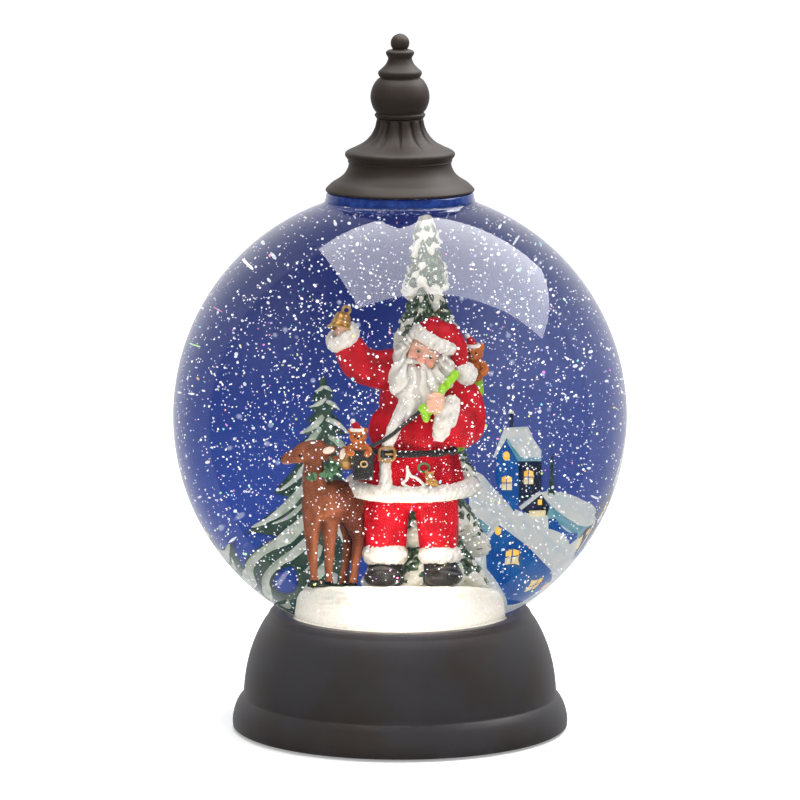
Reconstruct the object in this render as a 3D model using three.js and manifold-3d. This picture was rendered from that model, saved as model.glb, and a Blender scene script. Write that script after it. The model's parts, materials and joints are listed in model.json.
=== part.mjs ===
// Water-filled globe on a lighted battery base, standing upright on four rubber feet.
// Millimetres, +Z up, origin at the centre of the underside; the front of the globe faces -Y.

import * as THREE from 'three';
import { mergeVertices } from 'three/addons/utils/BufferGeometryUtils.js';
import Module from 'manifold-3d';

const wasm = await Module();
wasm.setup();

// ---------------------------------------------------------------- driving dimensions
const OVERALL_HEIGHT = 233.4;
const GLOBE_RADIUS = 76;
const GLOBE_WALL = 2.5;
const GLOBE_CENTRE_Z = 105.6;
const NECK_RADIUS = 36;
const NECK_BOTTOM_Z = 32;
const BOSS_RADIUS = 23.3;
const BOSS_TOP_Z = 180.6;
const BASE_RADIUS = 56.3;
const BASE_BOTTOM_Z = 0.8;
const RIM_TOP_Z = 40;
const SHELL_WALL = 2.4;
const FOOT_RADIUS = 5;
const FOOT_HEIGHT = 1.5;
const FOOT_CIRCLE = 48;
const COVER_RADIUS = 53.5;
const COVER_Z = [1.8, 3.8];
const DOOR_SIZE = [61.4, 48.4];
const DOOR_PIN_Y = 26.2;
const DOOR_PIN_Z = 3.3;
const DOOR_SCREW_Y = -20.8;
const CELL_RADIUS = 7.25;
const CELL_LENGTH = 49;
const CELL_PITCH = 14.8;
const CELL_Z = 11.6;
const MOTOR_RADIUS = 12;
const SHAFT_RADIUS = 1;
const PLUG_Z = [28.4, 37.4];
const IMPELLER_RADIUS = 12.5;
const GROUND_RADIUS = 31;
const GROUND_TOP_Z = 62;
const FIGURE_FEET_Z = 62.3;
const LED_CIRCLE = 23;
const SWITCH_Z = 15.6;
const SWITCH_TRAVEL = 5;
const COVER_SCREW_CIRCLE = 48.5;
const DOOR_PIN_RADIUS = 0.6;
const PIN_BORE_RADIUS = 0.9;
const DOOR_PIN_HALF_LENGTH = 26.5;
const KNUCKLE_RADIUS = 1.5;
const LEAD_RADIUS = 0.6;
const SPRING_WIRE_RADIUS = 0.3;
const FILM_THICKNESS = 0.4;
const FILM_HALF_WIDTH = 86;
const FILM_LOW = -55;
const FILM_HIGH = 70;
const BLADES = 5;
const FLUTES = 12;
const FLUTE_DEPTH = 0.9;
const TREE_SPOT = [8, 17];
const BELL_MOUTH_Z = 134.6;
const BELL_HEIGHT = 5.4;
const GAP = 0.3;

const INNER_RADIUS = GLOBE_RADIUS - GLOBE_WALL;
const FILM_RADIUS = INNER_RADIUS - 1;
const deg = THREE.MathUtils.degToRad;

// ---------------------------------------------------------------- finishes
const finish = (color, roughness, metalness = 0) => (
  new THREE.MeshStandardMaterial({ color, roughness, metalness })
);
const BASE_PLASTIC = finish(0x3a3230, 0.55);
const INNER_PLASTIC = finish(0x2b2b2d, 0.6);
const BRONZE_PAINT = finish(0x4a423e, 0.6, 0.2);
const CLEAR = finish(0xf2f6ff, 0.05);
CLEAR.transparent = true;
CLEAR.opacity = 0.25;
const RUBBER = finish(0x1c1c1c, 0.9);
const STEEL = finish(0xb8b8b8, 0.35, 1);
const BOARD_GREEN = finish(0x1f5a36, 0.5);
const FERRITE = finish(0x3b3b3f, 0.6);
const WHITE_PLASTIC = finish(0xf0f0ee, 0.4);
const SNOW = finish(0xf6f7fb, 0.8);
const RED_PAINT = finish(0xc02028, 0.5);
const FUR_BROWN = finish(0xa8592c, 0.6);
const TREE_GREEN = finish(0x2f5a3c, 0.7);
const GOLD = finish(0xb98a3a, 0.35, 0.8);
const LEATHER = finish(0x2a2422, 0.5);
const PRINT_BLUE = finish(0x2a4aa0, 0.5);
const CELL_SLEEVE = finish(0x3c6a4a, 0.4);

// ---------------------------------------------------------------- shape helpers
const globe = new THREE.Group();

function place(name, geometry, material, x = 0, y = 0, z = 0) {
  const mesh = new THREE.Mesh(geometry, material);
  mesh.name = name;
  mesh.position.set(x, y, z);
  globe.add(mesh);
  return mesh;
}

// A closed outline of [r, z] points turned about the Z axis; either order of the points will do.
function turned(outline, segments = 24) {
  const points = outline.map(([r, z]) => new THREE.Vector2(r, z));
  if (outline[0][0] > 0) points.push(points[0].clone());
  if (THREE.ShapeUtils.area(points) < 0) points.reverse();
  return new THREE.LatheGeometry(points, segments).rotateX(Math.PI / 2);
}

// A solid upright cylinder, or a cone frustum when the top radius differs.
function disc(radius, z0, z1, segments = 16, topRadius = radius) {
  return turned([[0, z0], [radius, z0], [topRadius, z1], [0, z1]], segments);
}

function block(width, depth, z0, z1, x = 0, y = 0) {
  return new THREE.BoxGeometry(width, depth, z1 - z0).translate(x, y, (z0 + z1) / 2);
}

// A blob of three semi-axes about a centre, optionally turned by Euler angles.
function blob(centre, axes, turn = [0, 0, 0], segments = 8) {
  return new THREE.SphereGeometry(1, segments, Math.round(segments * 0.7))
    .rotateX(Math.PI / 2)
    .scale(...axes)
    .applyQuaternion(new THREE.Quaternion().setFromEuler(new THREE.Euler(...turn)))
    .translate(...centre);
}

// A straight limb from one point to another, with a radius at each end.
function limb(from, to, r0, r1, segments = 8) {
  const a = new THREE.Vector3(...from);
  const b = new THREE.Vector3(...to);
  const along = b.clone().sub(a);
  const up = new THREE.Vector3(0, 1, 0);
  return new THREE.CylinderGeometry(r1, r0, along.length(), segments)
    .applyQuaternion(new THREE.Quaternion().setFromUnitVectors(up, along.clone().normalize()))
    .translate(...a.add(b).multiplyScalar(0.5).toArray());
}

// A round wire of a few sides carried along a smooth curve through the points.
function wire(points, radius, steps, sides = 6) {
  const path = new THREE.CatmullRomCurve3(points.map((p) => new THREE.Vector3(...p)));
  const section = new THREE.Shape();
  for (let i = 0; i < sides; i++) {
    const angle = (2 * Math.PI * i) / sides;
    if (i) section.lineTo(radius * Math.cos(angle), radius * Math.sin(angle));
    else section.moveTo(radius, 0);
  }
  return new THREE.ExtrudeGeometry(section, { steps, extrudePath: path, bevelEnabled: false });
}

// A closed mesh as a solid: equal corners are merged and flattened triangles dropped.
function toSolid(geometry) {
  const bare = geometry.clone();
  bare.deleteAttribute('normal');
  bare.deleteAttribute('uv');
  const merged = mergeVertices(bare, 1e-4);
  const kept = [];
  for (let i = 0; i < merged.index.count; i += 3) {
    const [a, b, c] = [0, 1, 2].map((k) => merged.index.getX(i + k));
    if (a !== b && b !== c && a !== c) kept.push(a, b, c);
  }
  return new wasm.Manifold(new wasm.Mesh({
    numProp: 3,
    vertProperties: new Float32Array(merged.attributes.position.array),
    triVerts: new Uint32Array(kept),
  }));
}

function toGeometry(solid) {
  const { vertProperties, triVerts, numProp } = solid.getMesh();
  const positions = new Float32Array((vertProperties.length / numProp) * 3);
  for (let i = 0; i < positions.length / 3; i++) {
    for (let k = 0; k < 3; k++) positions[3 * i + k] = vertProperties[i * numProp + k];
  }
  const geometry = new THREE.BufferGeometry();
  geometry.setAttribute('position', new THREE.BufferAttribute(positions, 3));
  geometry.setIndex([...triVerts]);
  geometry.computeVertexNormals();
  return geometry;
}

const joined = (parts) => toGeometry(parts.map(toSolid).reduce((a, b) => a.add(b)));
const cut = (body, tools) => toGeometry([body, ...tools].map(toSolid).reduce((a, b) => a.subtract(b)));
const cutFrom = (bodies, tools) => cut(joined(bodies), tools);

// ---------------------------------------------------------------- base shell
const outerWall = [
  [BASE_RADIUS, BASE_BOTTOM_Z], [BASE_RADIUS, 3.6], [56, 6], [55.2, 8.3], [53.9, 10.3], [52.7, 11.6],
  [52.3, 15.5], [51.7, 20], [50.4, 25.5], [48.7, 30.3], [46.4, 35], [44.2, 38.4], [42.8, 39.7],
];
const innerWall = [
  [41, 36.2], [43.3, 35.8], [46, 31], [48, 25.5], [49.4, 20], [50, 15.5], [50.4, 11.4],
  [53.4, 8.3], [BASE_RADIUS - SHELL_WALL, 6], [BASE_RADIUS - SHELL_WALL, BASE_BOTTOM_Z],
];
const rimAndCollar = [[41.2, RIM_TOP_Z], [39.7, 39.6], [36.6, 36.6], [36.6, PLUG_Z[0]], [41, PLUG_Z[0]]];
const switchPad = block(26, 5.4, SWITCH_Z - 5.4, SWITCH_Z + 6, 0, 47.8);
const switchRecess = block(22, 8, SWITCH_Z - 4, SWITCH_Z + 4, 0, 53.2);
const switchSlot = block(12.6, 10, SWITCH_Z - 1.8, SWITCH_Z + 1.8, 0, 47);
place('base_shell', cutFrom([turned([...outerWall, ...rimAndCollar, ...innerWall], 36), switchPad],
  [switchRecess, switchSlot]), BASE_PLASTIC);

// ---------------------------------------------------------------- bottom cover, door and feet
const [DOOR_W, DOOR_D] = DOOR_SIZE;
const knuckles = [-14, 14];
const lugs = [-25.2, 25.2];
const hingeLine = (x0, x1, radius, segments) =>
  limb([x0, DOOR_PIN_Y, DOOR_PIN_Z], [x1, DOOR_PIN_Y, DOOR_PIN_Z], radius, radius, segments);
const pinBore = hingeLine(-40, 40, PIN_BORE_RADIUS, 12);
const onCircle = (radius, turn) => [radius * Math.cos(deg(turn)), radius * Math.sin(deg(turn))];
const screwSpots = [20, 160, 200, 340].map((turn) => onCircle(COVER_SCREW_CIRCLE, turn));
place('bottom_cover', cutFrom(
  [disc(COVER_RADIUS, ...COVER_Z, 36), ...lugs.map((x) => block(3, 5, COVER_Z[0], 5.2, x, DOOR_PIN_Y))],
  [
    block(DOOR_W + 2 * GAP, DOOR_D + 2 * GAP, 0, 3.9),
    block(DOOR_W + 2 * GAP, 4, 0, 3.9, 0, DOOR_D / 2 - 0.8),
    block(47, 6, 0, 9, 0, DOOR_PIN_Y - 0.2),
    pinBore,
    ...screwSpots.map(([x, y]) => disc(1.6, 0, 5, 12).translate(x, y, 0)),
  ],
), INNER_PLASTIC);
place('battery_door', cutFrom(
  [
    block(DOOR_W, DOOR_D, COVER_Z[0], COVER_Z[1] - 0.2),
    ...knuckles.map((x) => hingeLine(x - 5, x + 5, KNUCKLE_RADIUS, 14)),
    ...knuckles.map((x) => block(10, 3, COVER_Z[0], COVER_Z[1] - 0.2, x, 24.7)),
  ],
  [
    pinBore,
    disc(1.5, 0, 5, 12).translate(0, DOOR_SCREW_Y, 0),
    disc(2.8, 0, 2.7, 16).translate(0, DOOR_SCREW_Y, 0),
  ],
), INNER_PLASTIC);
place('door_hinge_pin', hingeLine(-DOOR_PIN_HALF_LENGTH, DOOR_PIN_HALF_LENGTH, DOOR_PIN_RADIUS, 10), STEEL);
place('door_screw', joined([disc(2.4, 1.4, 2.4, 14), disc(1.1, 2, 5.3, 10)]), STEEL, 0, DOOR_SCREW_Y, 0);
const coverScrew = joined([disc(2.4, 0.6, 1.5, 12), disc(1.2, 1, 8.5, 10)]);
for (const [index, [x, y]] of screwSpots.entries()) {
  place(`cover_screw_${index + 1}`, coverScrew, STEEL, x, y, 0);
}
const rubberFoot = disc(FOOT_RADIUS, 0, FOOT_HEIGHT, 16, FOOT_RADIUS - 0.5);
for (const [index, turn] of [45, 135, 225, 315].entries()) {
  place(`rubber_foot_${index + 1}`, rubberFoot, RUBBER, ...onCircle(FOOT_CIRCLE, turn), 0);
}

// ---------------------------------------------------------------- battery bay
place('battery_tray', cutFrom(
  [
    cut(block(61, 47.2, 4.1, 20.6), [block(58.2, 44.4, 3, 19.2)]),
    block(8, 4.2, 4.1, 5.6, 0, -21.4),
  ],
  [disc(1.5, 3, 7, 12).translate(0, DOOR_SCREW_Y, 0)],
), INNER_PLASTIC);
const cell = (flip) => joined([
  limb([-24.5, 0, 0], [24.5, 0, 0], CELL_RADIUS, CELL_RADIUS, 14),
  flip ? limb([-25.9, 0, 0], [-24, 0, 0], 2.7, 2.7, 8) : limb([24, 0, 0], [25.9, 0, 0], 2.7, 2.7, 8),
]);
for (const row of [-1, 0, 1]) {
  place(`battery_${row + 2}`, cell(row === 0), CELL_SLEEVE, 0, row * CELL_PITCH, CELL_Z);
}
// Each spring is a coil of round wire that presses on the flat end of its cell.
const coilSpring = (side) => {
  const turns = 2.5;
  const points = [];
  for (let i = 0; i <= 20; i++) {
    const angle = (2 * Math.PI * turns * i) / 20;
    const radius = 4.4 - (1.6 * i) / 20;
    points.push([side * (28 - (2.9 * i) / 20), radius * Math.cos(angle), radius * Math.sin(angle)]);
  }
  return wire(points, SPRING_WIRE_RADIUS, 16, 4);
};
for (const row of [-1, 0, 1]) {
  place(`battery_spring_${row + 2}`, coilSpring(row === 0 ? 1 : -1), STEEL, 0, row * CELL_PITCH, CELL_Z);
}
// A link plate on each side joins two neighbouring cells, so the three are in series.
for (const [name, side] of [['contact_link_left', -1], ['contact_link_right', 1]]) {
  place(name, block(0.3, 24, CELL_Z - 4.6, CELL_Z + 4.6), STEEL, side * 28.75, side * CELL_PITCH / 2, 0);
}

// ---------------------------------------------------------------- motor and magnetic drive
place('motor_can', turned([
  [0, 21], [MOTOR_RADIUS, 21], [MOTOR_RADIUS, 30.2], [11, 30.7], [3, 30.7], [3, 31.3], [1.3, 31.3],
  [1.3, 24], [0, 24],
], 20), STEEL);
place('motor_shaft', disc(SHAFT_RADIUS, 24.3, 33.8, 10), STEEL);
place('drive_magnet', turned([
  [0, 34.6], [MOTOR_RADIUS, 34.6], [MOTOR_RADIUS, 31.8], [1.3, 31.8], [1.3, 34.1], [0, 34.1],
], 20), FERRITE);
place('motor_mount', cutFrom(
  [turned([[12.4, 20.9], [38.8, 20.9], [38.8, 22.6], [14.2, 22.6], [14.2, 27.6], [12.4, 27.6]], 24)],
  [0, 120, 240].map((turn) => disc(6, 20, 24, 14).translate(26, 0, 0).rotateZ(deg(turn))),
), INNER_PLASTIC);
place('retaining_ring', turned([[31, 25.4], [43, 25.4], [43, 28.1], [31, 28.1]], 24), INNER_PLASTIC);

// ---------------------------------------------------------------- lights and electronics
place('led_board', turned([[15, 25.9], [29.6, 25.9], [29.6, 27.3], [15, 27.3]], 24), BOARD_GREEN);
const ledAngles = [90, 210, 330];
for (const [index, turn] of ledAngles.entries()) {
  place(`led_${index + 1}`, turned([
    [0, 27.6], [2.8, 27.6], [2.8, 28.3], [2.45, 28.4], [2.45, 30.6], [1.8, 32], [0, 32.7],
  ], 10), WHITE_PLASTIC, ...onCircle(LED_CIRCLE, turn), 0);
}
place('control_board', joined([
  block(30, 12, 6, 7.5, 0, 38.5),
  block(8, 5, 7, 9.3, -6, 38.5),
  disc(3, 7, 11, 14).translate(7, 38.5, 0),
]), BOARD_GREEN);
place('switch_body', cut(
  block(20, 7, SWITCH_Z - 4, SWITCH_Z + 4, 0, 41),
  [block(13, 3.4, SWITCH_Z - 2.2, SWITCH_Z + 2.2, 0, 43.4)],
), LEATHER);
place('switch_slider', joined([
  block(7, 2.2, SWITCH_Z - 1.9, SWITCH_Z + 1.9, 0, 43.2),
  block(5, 7.2, SWITCH_Z - 1.4, SWITCH_Z + 1.4, 0, 47),
]), WHITE_PLASTIC, SWITCH_TRAVEL / 2, 0, 0);
const leads = [
  ['battery_lead', [[-24, 24.8, 15], [-24, 30, 14], [-18, 36, 10], [-13, 37, 8.5]]],
  ['motor_lead', [
    [-10, 33.5, 8.5], [-14, 31, 12], [-15.5, 27.5, 17],
    [-13.5, 24.5, 22], [-11.5, 16.5, 24.2], [-10, 13, 24.2],
  ]],
];
for (const [name, points] of leads) place(name, wire(points, LEAD_RADIUS, 10), LEATHER);

// ---------------------------------------------------------------- globe, plug and backdrop
// Points of a half circle from radius fromR at the bottom round to toR at the top, which may be the pole.
function sphereArc(radius, fromR, toR, steps) {
  const a0 = Math.asin(fromR / radius);
  const a1 = Math.PI - Math.asin(toR / radius);
  return Array.from({ length: steps + 1 }, (_, i) => {
    const a = a0 + ((a1 - a0) * i) / steps;
    const atPole = i === steps && toR === 0;
    return [atPole ? 0 : radius * Math.sin(a), GLOBE_CENTRE_Z - radius * Math.cos(a)];
  });
}
const neckInner = NECK_RADIUS - GLOBE_WALL;
place('globe_shell', turned([
  [neckInner, NECK_BOTTOM_Z], [NECK_RADIUS, NECK_BOTTOM_Z],
  ...sphereArc(GLOBE_RADIUS, NECK_RADIUS, BOSS_RADIUS, 12),
  [BOSS_RADIUS, BOSS_TOP_Z], [0, BOSS_TOP_Z],
  ...sphereArc(INNER_RADIUS, neckInner, 0, 13).reverse(),
], 36), CLEAR);
const pocket = disc(3.1, 28, 33.6, 10);
const plugPockets = ledAngles.map((turn) => pocket.clone().translate(...onCircle(LED_CIRCLE, turn), 0));
place('globe_plug', cut(turned([
  [0, 35.2], [14, 35.2], [14, PLUG_Z[0]], [36.2, PLUG_Z[0]], [36.2, 30.4], [neckInner - 0.4, 30.4],
  [neckInner - 0.4, PLUG_Z[1]], [0, PLUG_Z[1]],
], 28), [...plugPockets, disc(3.3, 28, 38, 10).translate(LED_CIRCLE, 0, 0)]), CLEAR);
place('plug_gasket', turned([
  [neckInner - 0.1, 30.7], [NECK_RADIUS, 30.7], [NECK_RADIUS, 31.7], [neckInner - 0.1, 31.7],
], 28), RUBBER);
place('fill_stopper', disc(2.9, 28.8, 37.2, 10), RUBBER, LED_CIRCLE, 0, 0);
// The printed film hugs the back of the globe's inner wall from side to side.
function curvedFilm(radius, thickness, sideAngle, lowAngle, highAngle, columns, rows) {
  const positions = [];
  const index = [];
  const corner = (layer, i, j) => (layer * (rows + 1) + j) * (columns + 1) + i;
  for (const layer of [0, 1]) {
    const r = radius - layer * thickness;
    for (let j = 0; j <= rows; j++) {
      const lift = lowAngle + ((highAngle - lowAngle) * j) / rows;
      for (let i = 0; i <= columns; i++) {
        const swing = -sideAngle + (2 * sideAngle * i) / columns;
        positions.push(r * Math.cos(lift) * Math.sin(swing), r * Math.cos(lift) * Math.cos(swing),
          GLOBE_CENTRE_Z + r * Math.sin(lift));
      }
    }
  }
  const quad = (a, b, c, d) => index.push(a, b, c, a, c, d);
  for (let j = 0; j < rows; j++) {
    for (let i = 0; i < columns; i++) {
      quad(corner(0, i, j), corner(0, i, j + 1), corner(0, i + 1, j + 1), corner(0, i + 1, j));
      quad(corner(1, i, j), corner(1, i + 1, j), corner(1, i + 1, j + 1), corner(1, i, j + 1));
    }
    quad(corner(0, 0, j), corner(1, 0, j), corner(1, 0, j + 1), corner(0, 0, j + 1));
    quad(corner(0, columns, j), corner(0, columns, j + 1), corner(1, columns, j + 1), corner(1, columns, j));
  }
  for (let i = 0; i < columns; i++) {
    quad(corner(0, i, 0), corner(0, i + 1, 0), corner(1, i + 1, 0), corner(1, i, 0));
    quad(corner(0, i, rows), corner(1, i, rows), corner(1, i + 1, rows), corner(0, i + 1, rows));
  }
  const geometry = new THREE.BufferGeometry();
  geometry.setAttribute('position', new THREE.BufferAttribute(new Float32Array(positions), 3));
  geometry.setIndex(index);
  geometry.computeVertexNormals();
  return geometry;
}
place('backdrop_film', curvedFilm(
  FILM_RADIUS, FILM_THICKNESS, deg(FILM_HALF_WIDTH), deg(FILM_LOW), deg(FILM_HIGH), 16, 9,
), PRINT_BLUE);

// ---------------------------------------------------------------- water circulation under the snow
place('impeller_pin', turned([
  [0, 37.7], [SHAFT_RADIUS, 37.7], [SHAFT_RADIUS, 47.4], [2.4, 47.4], [2.4, 48.6], [0, 48.8],
], 10), STEEL);
place('impeller_magnet', turned([[3.2, 38.1], [11, 38.1], [11, 40.5], [3.2, 40.5]], 20), FERRITE);
const blades = Array.from({ length: BLADES }, (_, i) => (
  block(9, 1.2, 41.6, 46, 7, 0).rotateZ((2 * Math.PI * i) / BLADES)
));
place('impeller', joined([
  turned([[1.3, 38.1], [2.9, 38.1], [2.9, 46.6], [1.3, 46.6]], 12),
  turned([[2.5, 40.8], [IMPELLER_RADIUS, 40.8], [IMPELLER_RADIUS, 42], [2.5, 42]], 20),
  ...blades,
]), WHITE_PLASTIC);
const sideSlots = [0, 60, 120].map((d) => block(40, 6, 39.5, 46).rotateZ(deg(d)));
place('impeller_housing', cut(turned([
  [14.4, 37.8], [16, 37.8], [16, 52.4], [5, 52.4], [5, 51], [14.4, 51],
], 20), sideSlots), WHITE_PLASTIC);
const groundOuter = [
  [GROUND_RADIUS, 37.8], [GROUND_RADIUS, 44], [30.6, 52], [29.6, 57.4], [27.4, 60.6], [23.6, GROUND_TOP_Z],
  [0, GROUND_TOP_Z],
];
const groundInner = [
  [0, 59.6], [22.6, 59.6], [26, 58.2], [27.4, 56.4], [28.4, 51.8], [28.8, 44], [28.8, 37.8],
];
const vents = [
  disc(3.4, 55, 65, 12).translate(-14, 24 - 5.5, 0),
  disc(3.4, 55, 65, 12).translate(21.5, -6, 0),
  limb([0, 20, 43], [0, 36, 43], 3.6, 3.6, 12),
];
place('snow_ground', cut(turned([...groundOuter, ...groundInner], 24), vents), SNOW);

// ---------------------------------------------------------------- figures
const foot = FIGURE_FEET_Z;
place('gift_giver', joined([
  blob([-5, -6, foot + 3.2], [5.6, 7, 3.2]),
  blob([10, -6, foot + 3.2], [5.6, 7, 3.2]),
  limb([-4.2, -3, foot + 3], [-2, -2, 84], 5.2, 6.4),
  limb([9.8, -3, foot + 3], [8.4, -2, 84], 4.8, 6.4),
  blob([3, -2.5, 89], [13.5, 9, 7.5]),
  blob([5, -2, 99], [10, 8, 8]),
  blob([4.6, -1.5, 110], [12.4, 8.2, 10]),
  limb([-2, -1, 117], [-12, -2, 120], 5, 4.4),
  limb([-12, -2, 120], [-15.6, -4, 128], 4.4, 3.8),
  blob([-15.6, -4, 130.4], [3.4, 3.2, 3.4]),
  limb([13.5, -1, 116], [19.4, -4, 104], 5, 5),
  limb([19.4, -4, 104], [11.5, -12, 107], 4.8, 4),
  blob([8.6, -12.5, 112], [3.2, 3, 3.6]),
  blob([3.8, -8, 112.5], [6.4, 4.8, 9.6]),
  blob([6.6, -4, 122.4], [6.2, 6.2, 6.6]),
  blob([10.2, -2, 126.6], [6.2, 6.4, 5.2], [0, 0.4, 0]),
  blob([16, -3, 118.8], [2.8, 2.8, 2.8]),
  limb([12.6, -2.4, 126], [16, -3, 119], 3, 2),
]), RED_PAINT);
place('hand_bell', disc(2.9, BELL_MOUTH_Z, BELL_MOUTH_Z + BELL_HEIGHT, 16, 1.6), GOLD, -15.4, -4, 0);
place('satchel', block(7, 4, 90, 99, -8.6, -13.6), LEATHER);
place('bear_in_satchel', joined([
  blob([-7.6, -13.4, 102.6], [2.5, 2.4, 3.2]),
  blob([-6.8, -13.4, 106.6], [2, 2, 2]),
]), FUR_BROWN);
place('bear_on_shoulder', joined([
  blob([21.6, 1, 119.6], [2.6, 2.6, 3.6]),
  blob([21, 1, 124.2], [2.2, 2.2, 2.2]),
]), FUR_BROWN);
const [fawnX, fawnY] = [-17.5, -8];
place('fawn', joined([
  blob([fawnX + 1, fawnY + 1, 83.4], [6.4, 7, 6.6]),
  limb([fawnX - 5, fawnY - 2, foot], [fawnX - 3, fawnY - 1, 82], 1.7, 2.8),
  limb([fawnX + 0.6, fawnY - 3, foot], [fawnX, fawnY - 2, 82], 1.7, 2.8),
  limb([fawnX + 4.6, fawnY + 3.5, foot], [fawnX + 3.4, fawnY + 3, 82], 1.7, 3),
  limb([fawnX - 1, fawnY - 1, 84], [fawnX - 5.4, fawnY - 1.6, 95], 5, 3),
  blob([fawnX - 7.4, fawnY - 1.8, 96.4], [4.6, 3.6, 3.6]),
  limb([fawnX - 8, fawnY - 1.8, 96], [fawnX - 12.6, fawnY - 2, 95], 2.6, 1.6),
  blob([fawnX - 4.6, fawnY + 0.2, 98.2], [3.4, 1.6, 1.8], [0, -0.5, 0]),
  blob([fawnX - 2.4, fawnY - 4, 92.4], [2.2, 2.2, 2.4]),
]), FUR_BROWN);
place('tall_tree', turned([
  [0, foot], [13.8, foot], [13.8, 66], [12, 80], [10, 96], [8.2, 112], [6.2, 128], [4.2, 140], [1.6, 152],
  [0, 156.6],
], 12), TREE_GREEN, ...TREE_SPOT, 0);

// ---------------------------------------------------------------- finial
// Shallow flutes run up the skirt; the foot and the ring above it stay round.
function fluted(outline, segments, fromZ, toZ) {
  const geometry = turned(outline, segments);
  const position = geometry.attributes.position;
  for (let i = 0; i < position.count; i++) {
    const [x, y, z] = [position.getX(i), position.getY(i), position.getZ(i)];
    if (z < fromZ || z > toZ || Math.hypot(x, y) < 6) continue;
    const shrink = 1 - (FLUTE_DEPTH * (1 - Math.cos(FLUTES * Math.atan2(y, x)))) / 2 / Math.hypot(x, y);
    position.setXYZ(i, x * shrink, y * shrink, z);
  }
  return geometry;
}
place('finial_cap', fluted([
  [0, 181], [24.6, 181], [24.6, 182], [22.4, 184.6], [19.4, 186], [17.2, 188.6], [17.1, 191], [18.2, 192.4],
  [18.2, 194], [14.4, 196], [10.8, 198.4], [8.8, 200.8], [8, 203], [7.6, 205.2], [0, 205.2],
], 36, 194.5, 204.5), BRONZE_PAINT);
place('finial_spire', turned([
  [0, 205.5], [8.2, 205.5], [8.2, 207], [9.2, 209], [9.8, 212.4], [9.3, 215], [7.9, 217.6], [6.8, 218.8],
  [7.3, 220.6], [5.1, 222.4], [4.1, 224.6], [4.7, 226.4], [3.3, 227.6], [3.2, 231], [2.4, 232.6],
  [0, OVERALL_HEIGHT],
], 20), BRONZE_PAINT);

export default globe;
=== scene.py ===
"""Snow globe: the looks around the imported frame, laid out as a Blender add-on and run as a script.

Lengths in the property groups are in metres, as in the frame: +Z up, the scene in the globe faces -Y.
Small shapes are worked out in millimetres and turned into metres when their mesh is made.
"""

import json

import bmesh
import bpy
import numpy as np
from mathutils.geometry import tessellate_polygon
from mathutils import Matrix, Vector


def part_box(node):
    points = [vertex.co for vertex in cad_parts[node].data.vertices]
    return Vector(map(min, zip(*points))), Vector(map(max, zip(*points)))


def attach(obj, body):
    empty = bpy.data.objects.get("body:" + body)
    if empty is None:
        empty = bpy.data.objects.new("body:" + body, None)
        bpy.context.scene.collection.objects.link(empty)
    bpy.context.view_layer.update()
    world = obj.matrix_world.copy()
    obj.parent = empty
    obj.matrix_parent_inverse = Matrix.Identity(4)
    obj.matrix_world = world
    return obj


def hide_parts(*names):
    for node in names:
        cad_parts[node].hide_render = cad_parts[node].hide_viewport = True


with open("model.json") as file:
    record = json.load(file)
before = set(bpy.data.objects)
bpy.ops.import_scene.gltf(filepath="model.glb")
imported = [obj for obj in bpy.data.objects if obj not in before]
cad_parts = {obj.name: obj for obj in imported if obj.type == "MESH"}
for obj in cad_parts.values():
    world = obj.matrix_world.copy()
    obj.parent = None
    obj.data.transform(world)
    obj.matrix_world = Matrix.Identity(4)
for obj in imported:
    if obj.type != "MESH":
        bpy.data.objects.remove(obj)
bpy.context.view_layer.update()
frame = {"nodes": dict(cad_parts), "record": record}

bl_info = {
    "name": "Snow Globe Builder",
    "version": (1, 0, 0),
    "blender": (4, 5, 0),
    "location": "3D View > Sidebar > Snow Globe",
    "description": "Builds a water globe with its figures, printed night scene, glitter and base",
    "category": "Add Mesh",
}

MM = 0.001
BODY = "globe_and_base"


# ---------------------------------------------------------------------------- sizes and colours
def length(name, description, default):
    """A length property."""
    return bpy.props.FloatProperty(name=name, description=description, default=default, unit="LENGTH",
            precision=5)


def tint(name, description, default):
    """A colour property."""
    return bpy.props.FloatVectorProperty(
        name=name, description=description, default=default, size=3, subtype="COLOR", min=0, max=1)


class SNOWGLOBE_PG_sizes(bpy.types.PropertyGroup):
    globe_radius: length("Globe radius", "Outer radius of the clear ball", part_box("globe_shell")[1][0])
    globe_wall: length("Globe wall", "Thickness of the clear ball's wall", 0.0025)
    globe_centre: length("Globe centre", "Height of the ball's centre", 0.1056)
    neck_radius: length("Neck radius", "Outer radius of the ball's neck, inside the base", 0.036)
    boss_radius: length("Boss radius", "Radius of the raised seat under the finial", 0.0233)
    rim_height: length("Rim height", "Height of the base's upper edge", 0.040)
    ground_height: length("Ground height", "Height of the snow that the figures stand on",
                          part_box("snow_ground")[1][2])
    flakes: bpy.props.IntProperty(name="Flakes", description="How many glitter flakes float in the water",
            default=6500)
    seed: bpy.props.IntProperty(name="Seed", description="Which scatter of flakes is used", default=11)


class SNOWGLOBE_PG_colours(bpy.types.PropertyGroup):
    base: tint("Base", "Moulded plastic of the base", (0.0275, 0.0215, 0.0187))
    finial: tint("Finial", "Paint of the finial", (0.029, 0.0208, 0.0162))
    coat: tint("Coat", "Red of the coat, hat and trousers", (0.49, 0.0065, 0.016))
    fur_trim: tint("Fur trim", "White fur, beard and hair", (0.70, 0.655, 0.60))
    skin: tint("Skin", "Painted skin", (0.70, 0.41, 0.29))
    fawn: tint("Fawn", "Coat of the fawn", (0.25, 0.077, 0.037))
    tree: tint("Tree", "Needles of the standing tree", (0.060, 0.115, 0.065))
    snow: tint("Snow", "Snow on the ground and the trees", (0.80, 0.78, 0.73))
    night_high: tint("High sky", "Printed sky near the top", (0.005, 0.018, 0.155))
    night_low: tint("Low sky", "Printed sky near the hills", (0.042, 0.092, 0.42))


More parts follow.
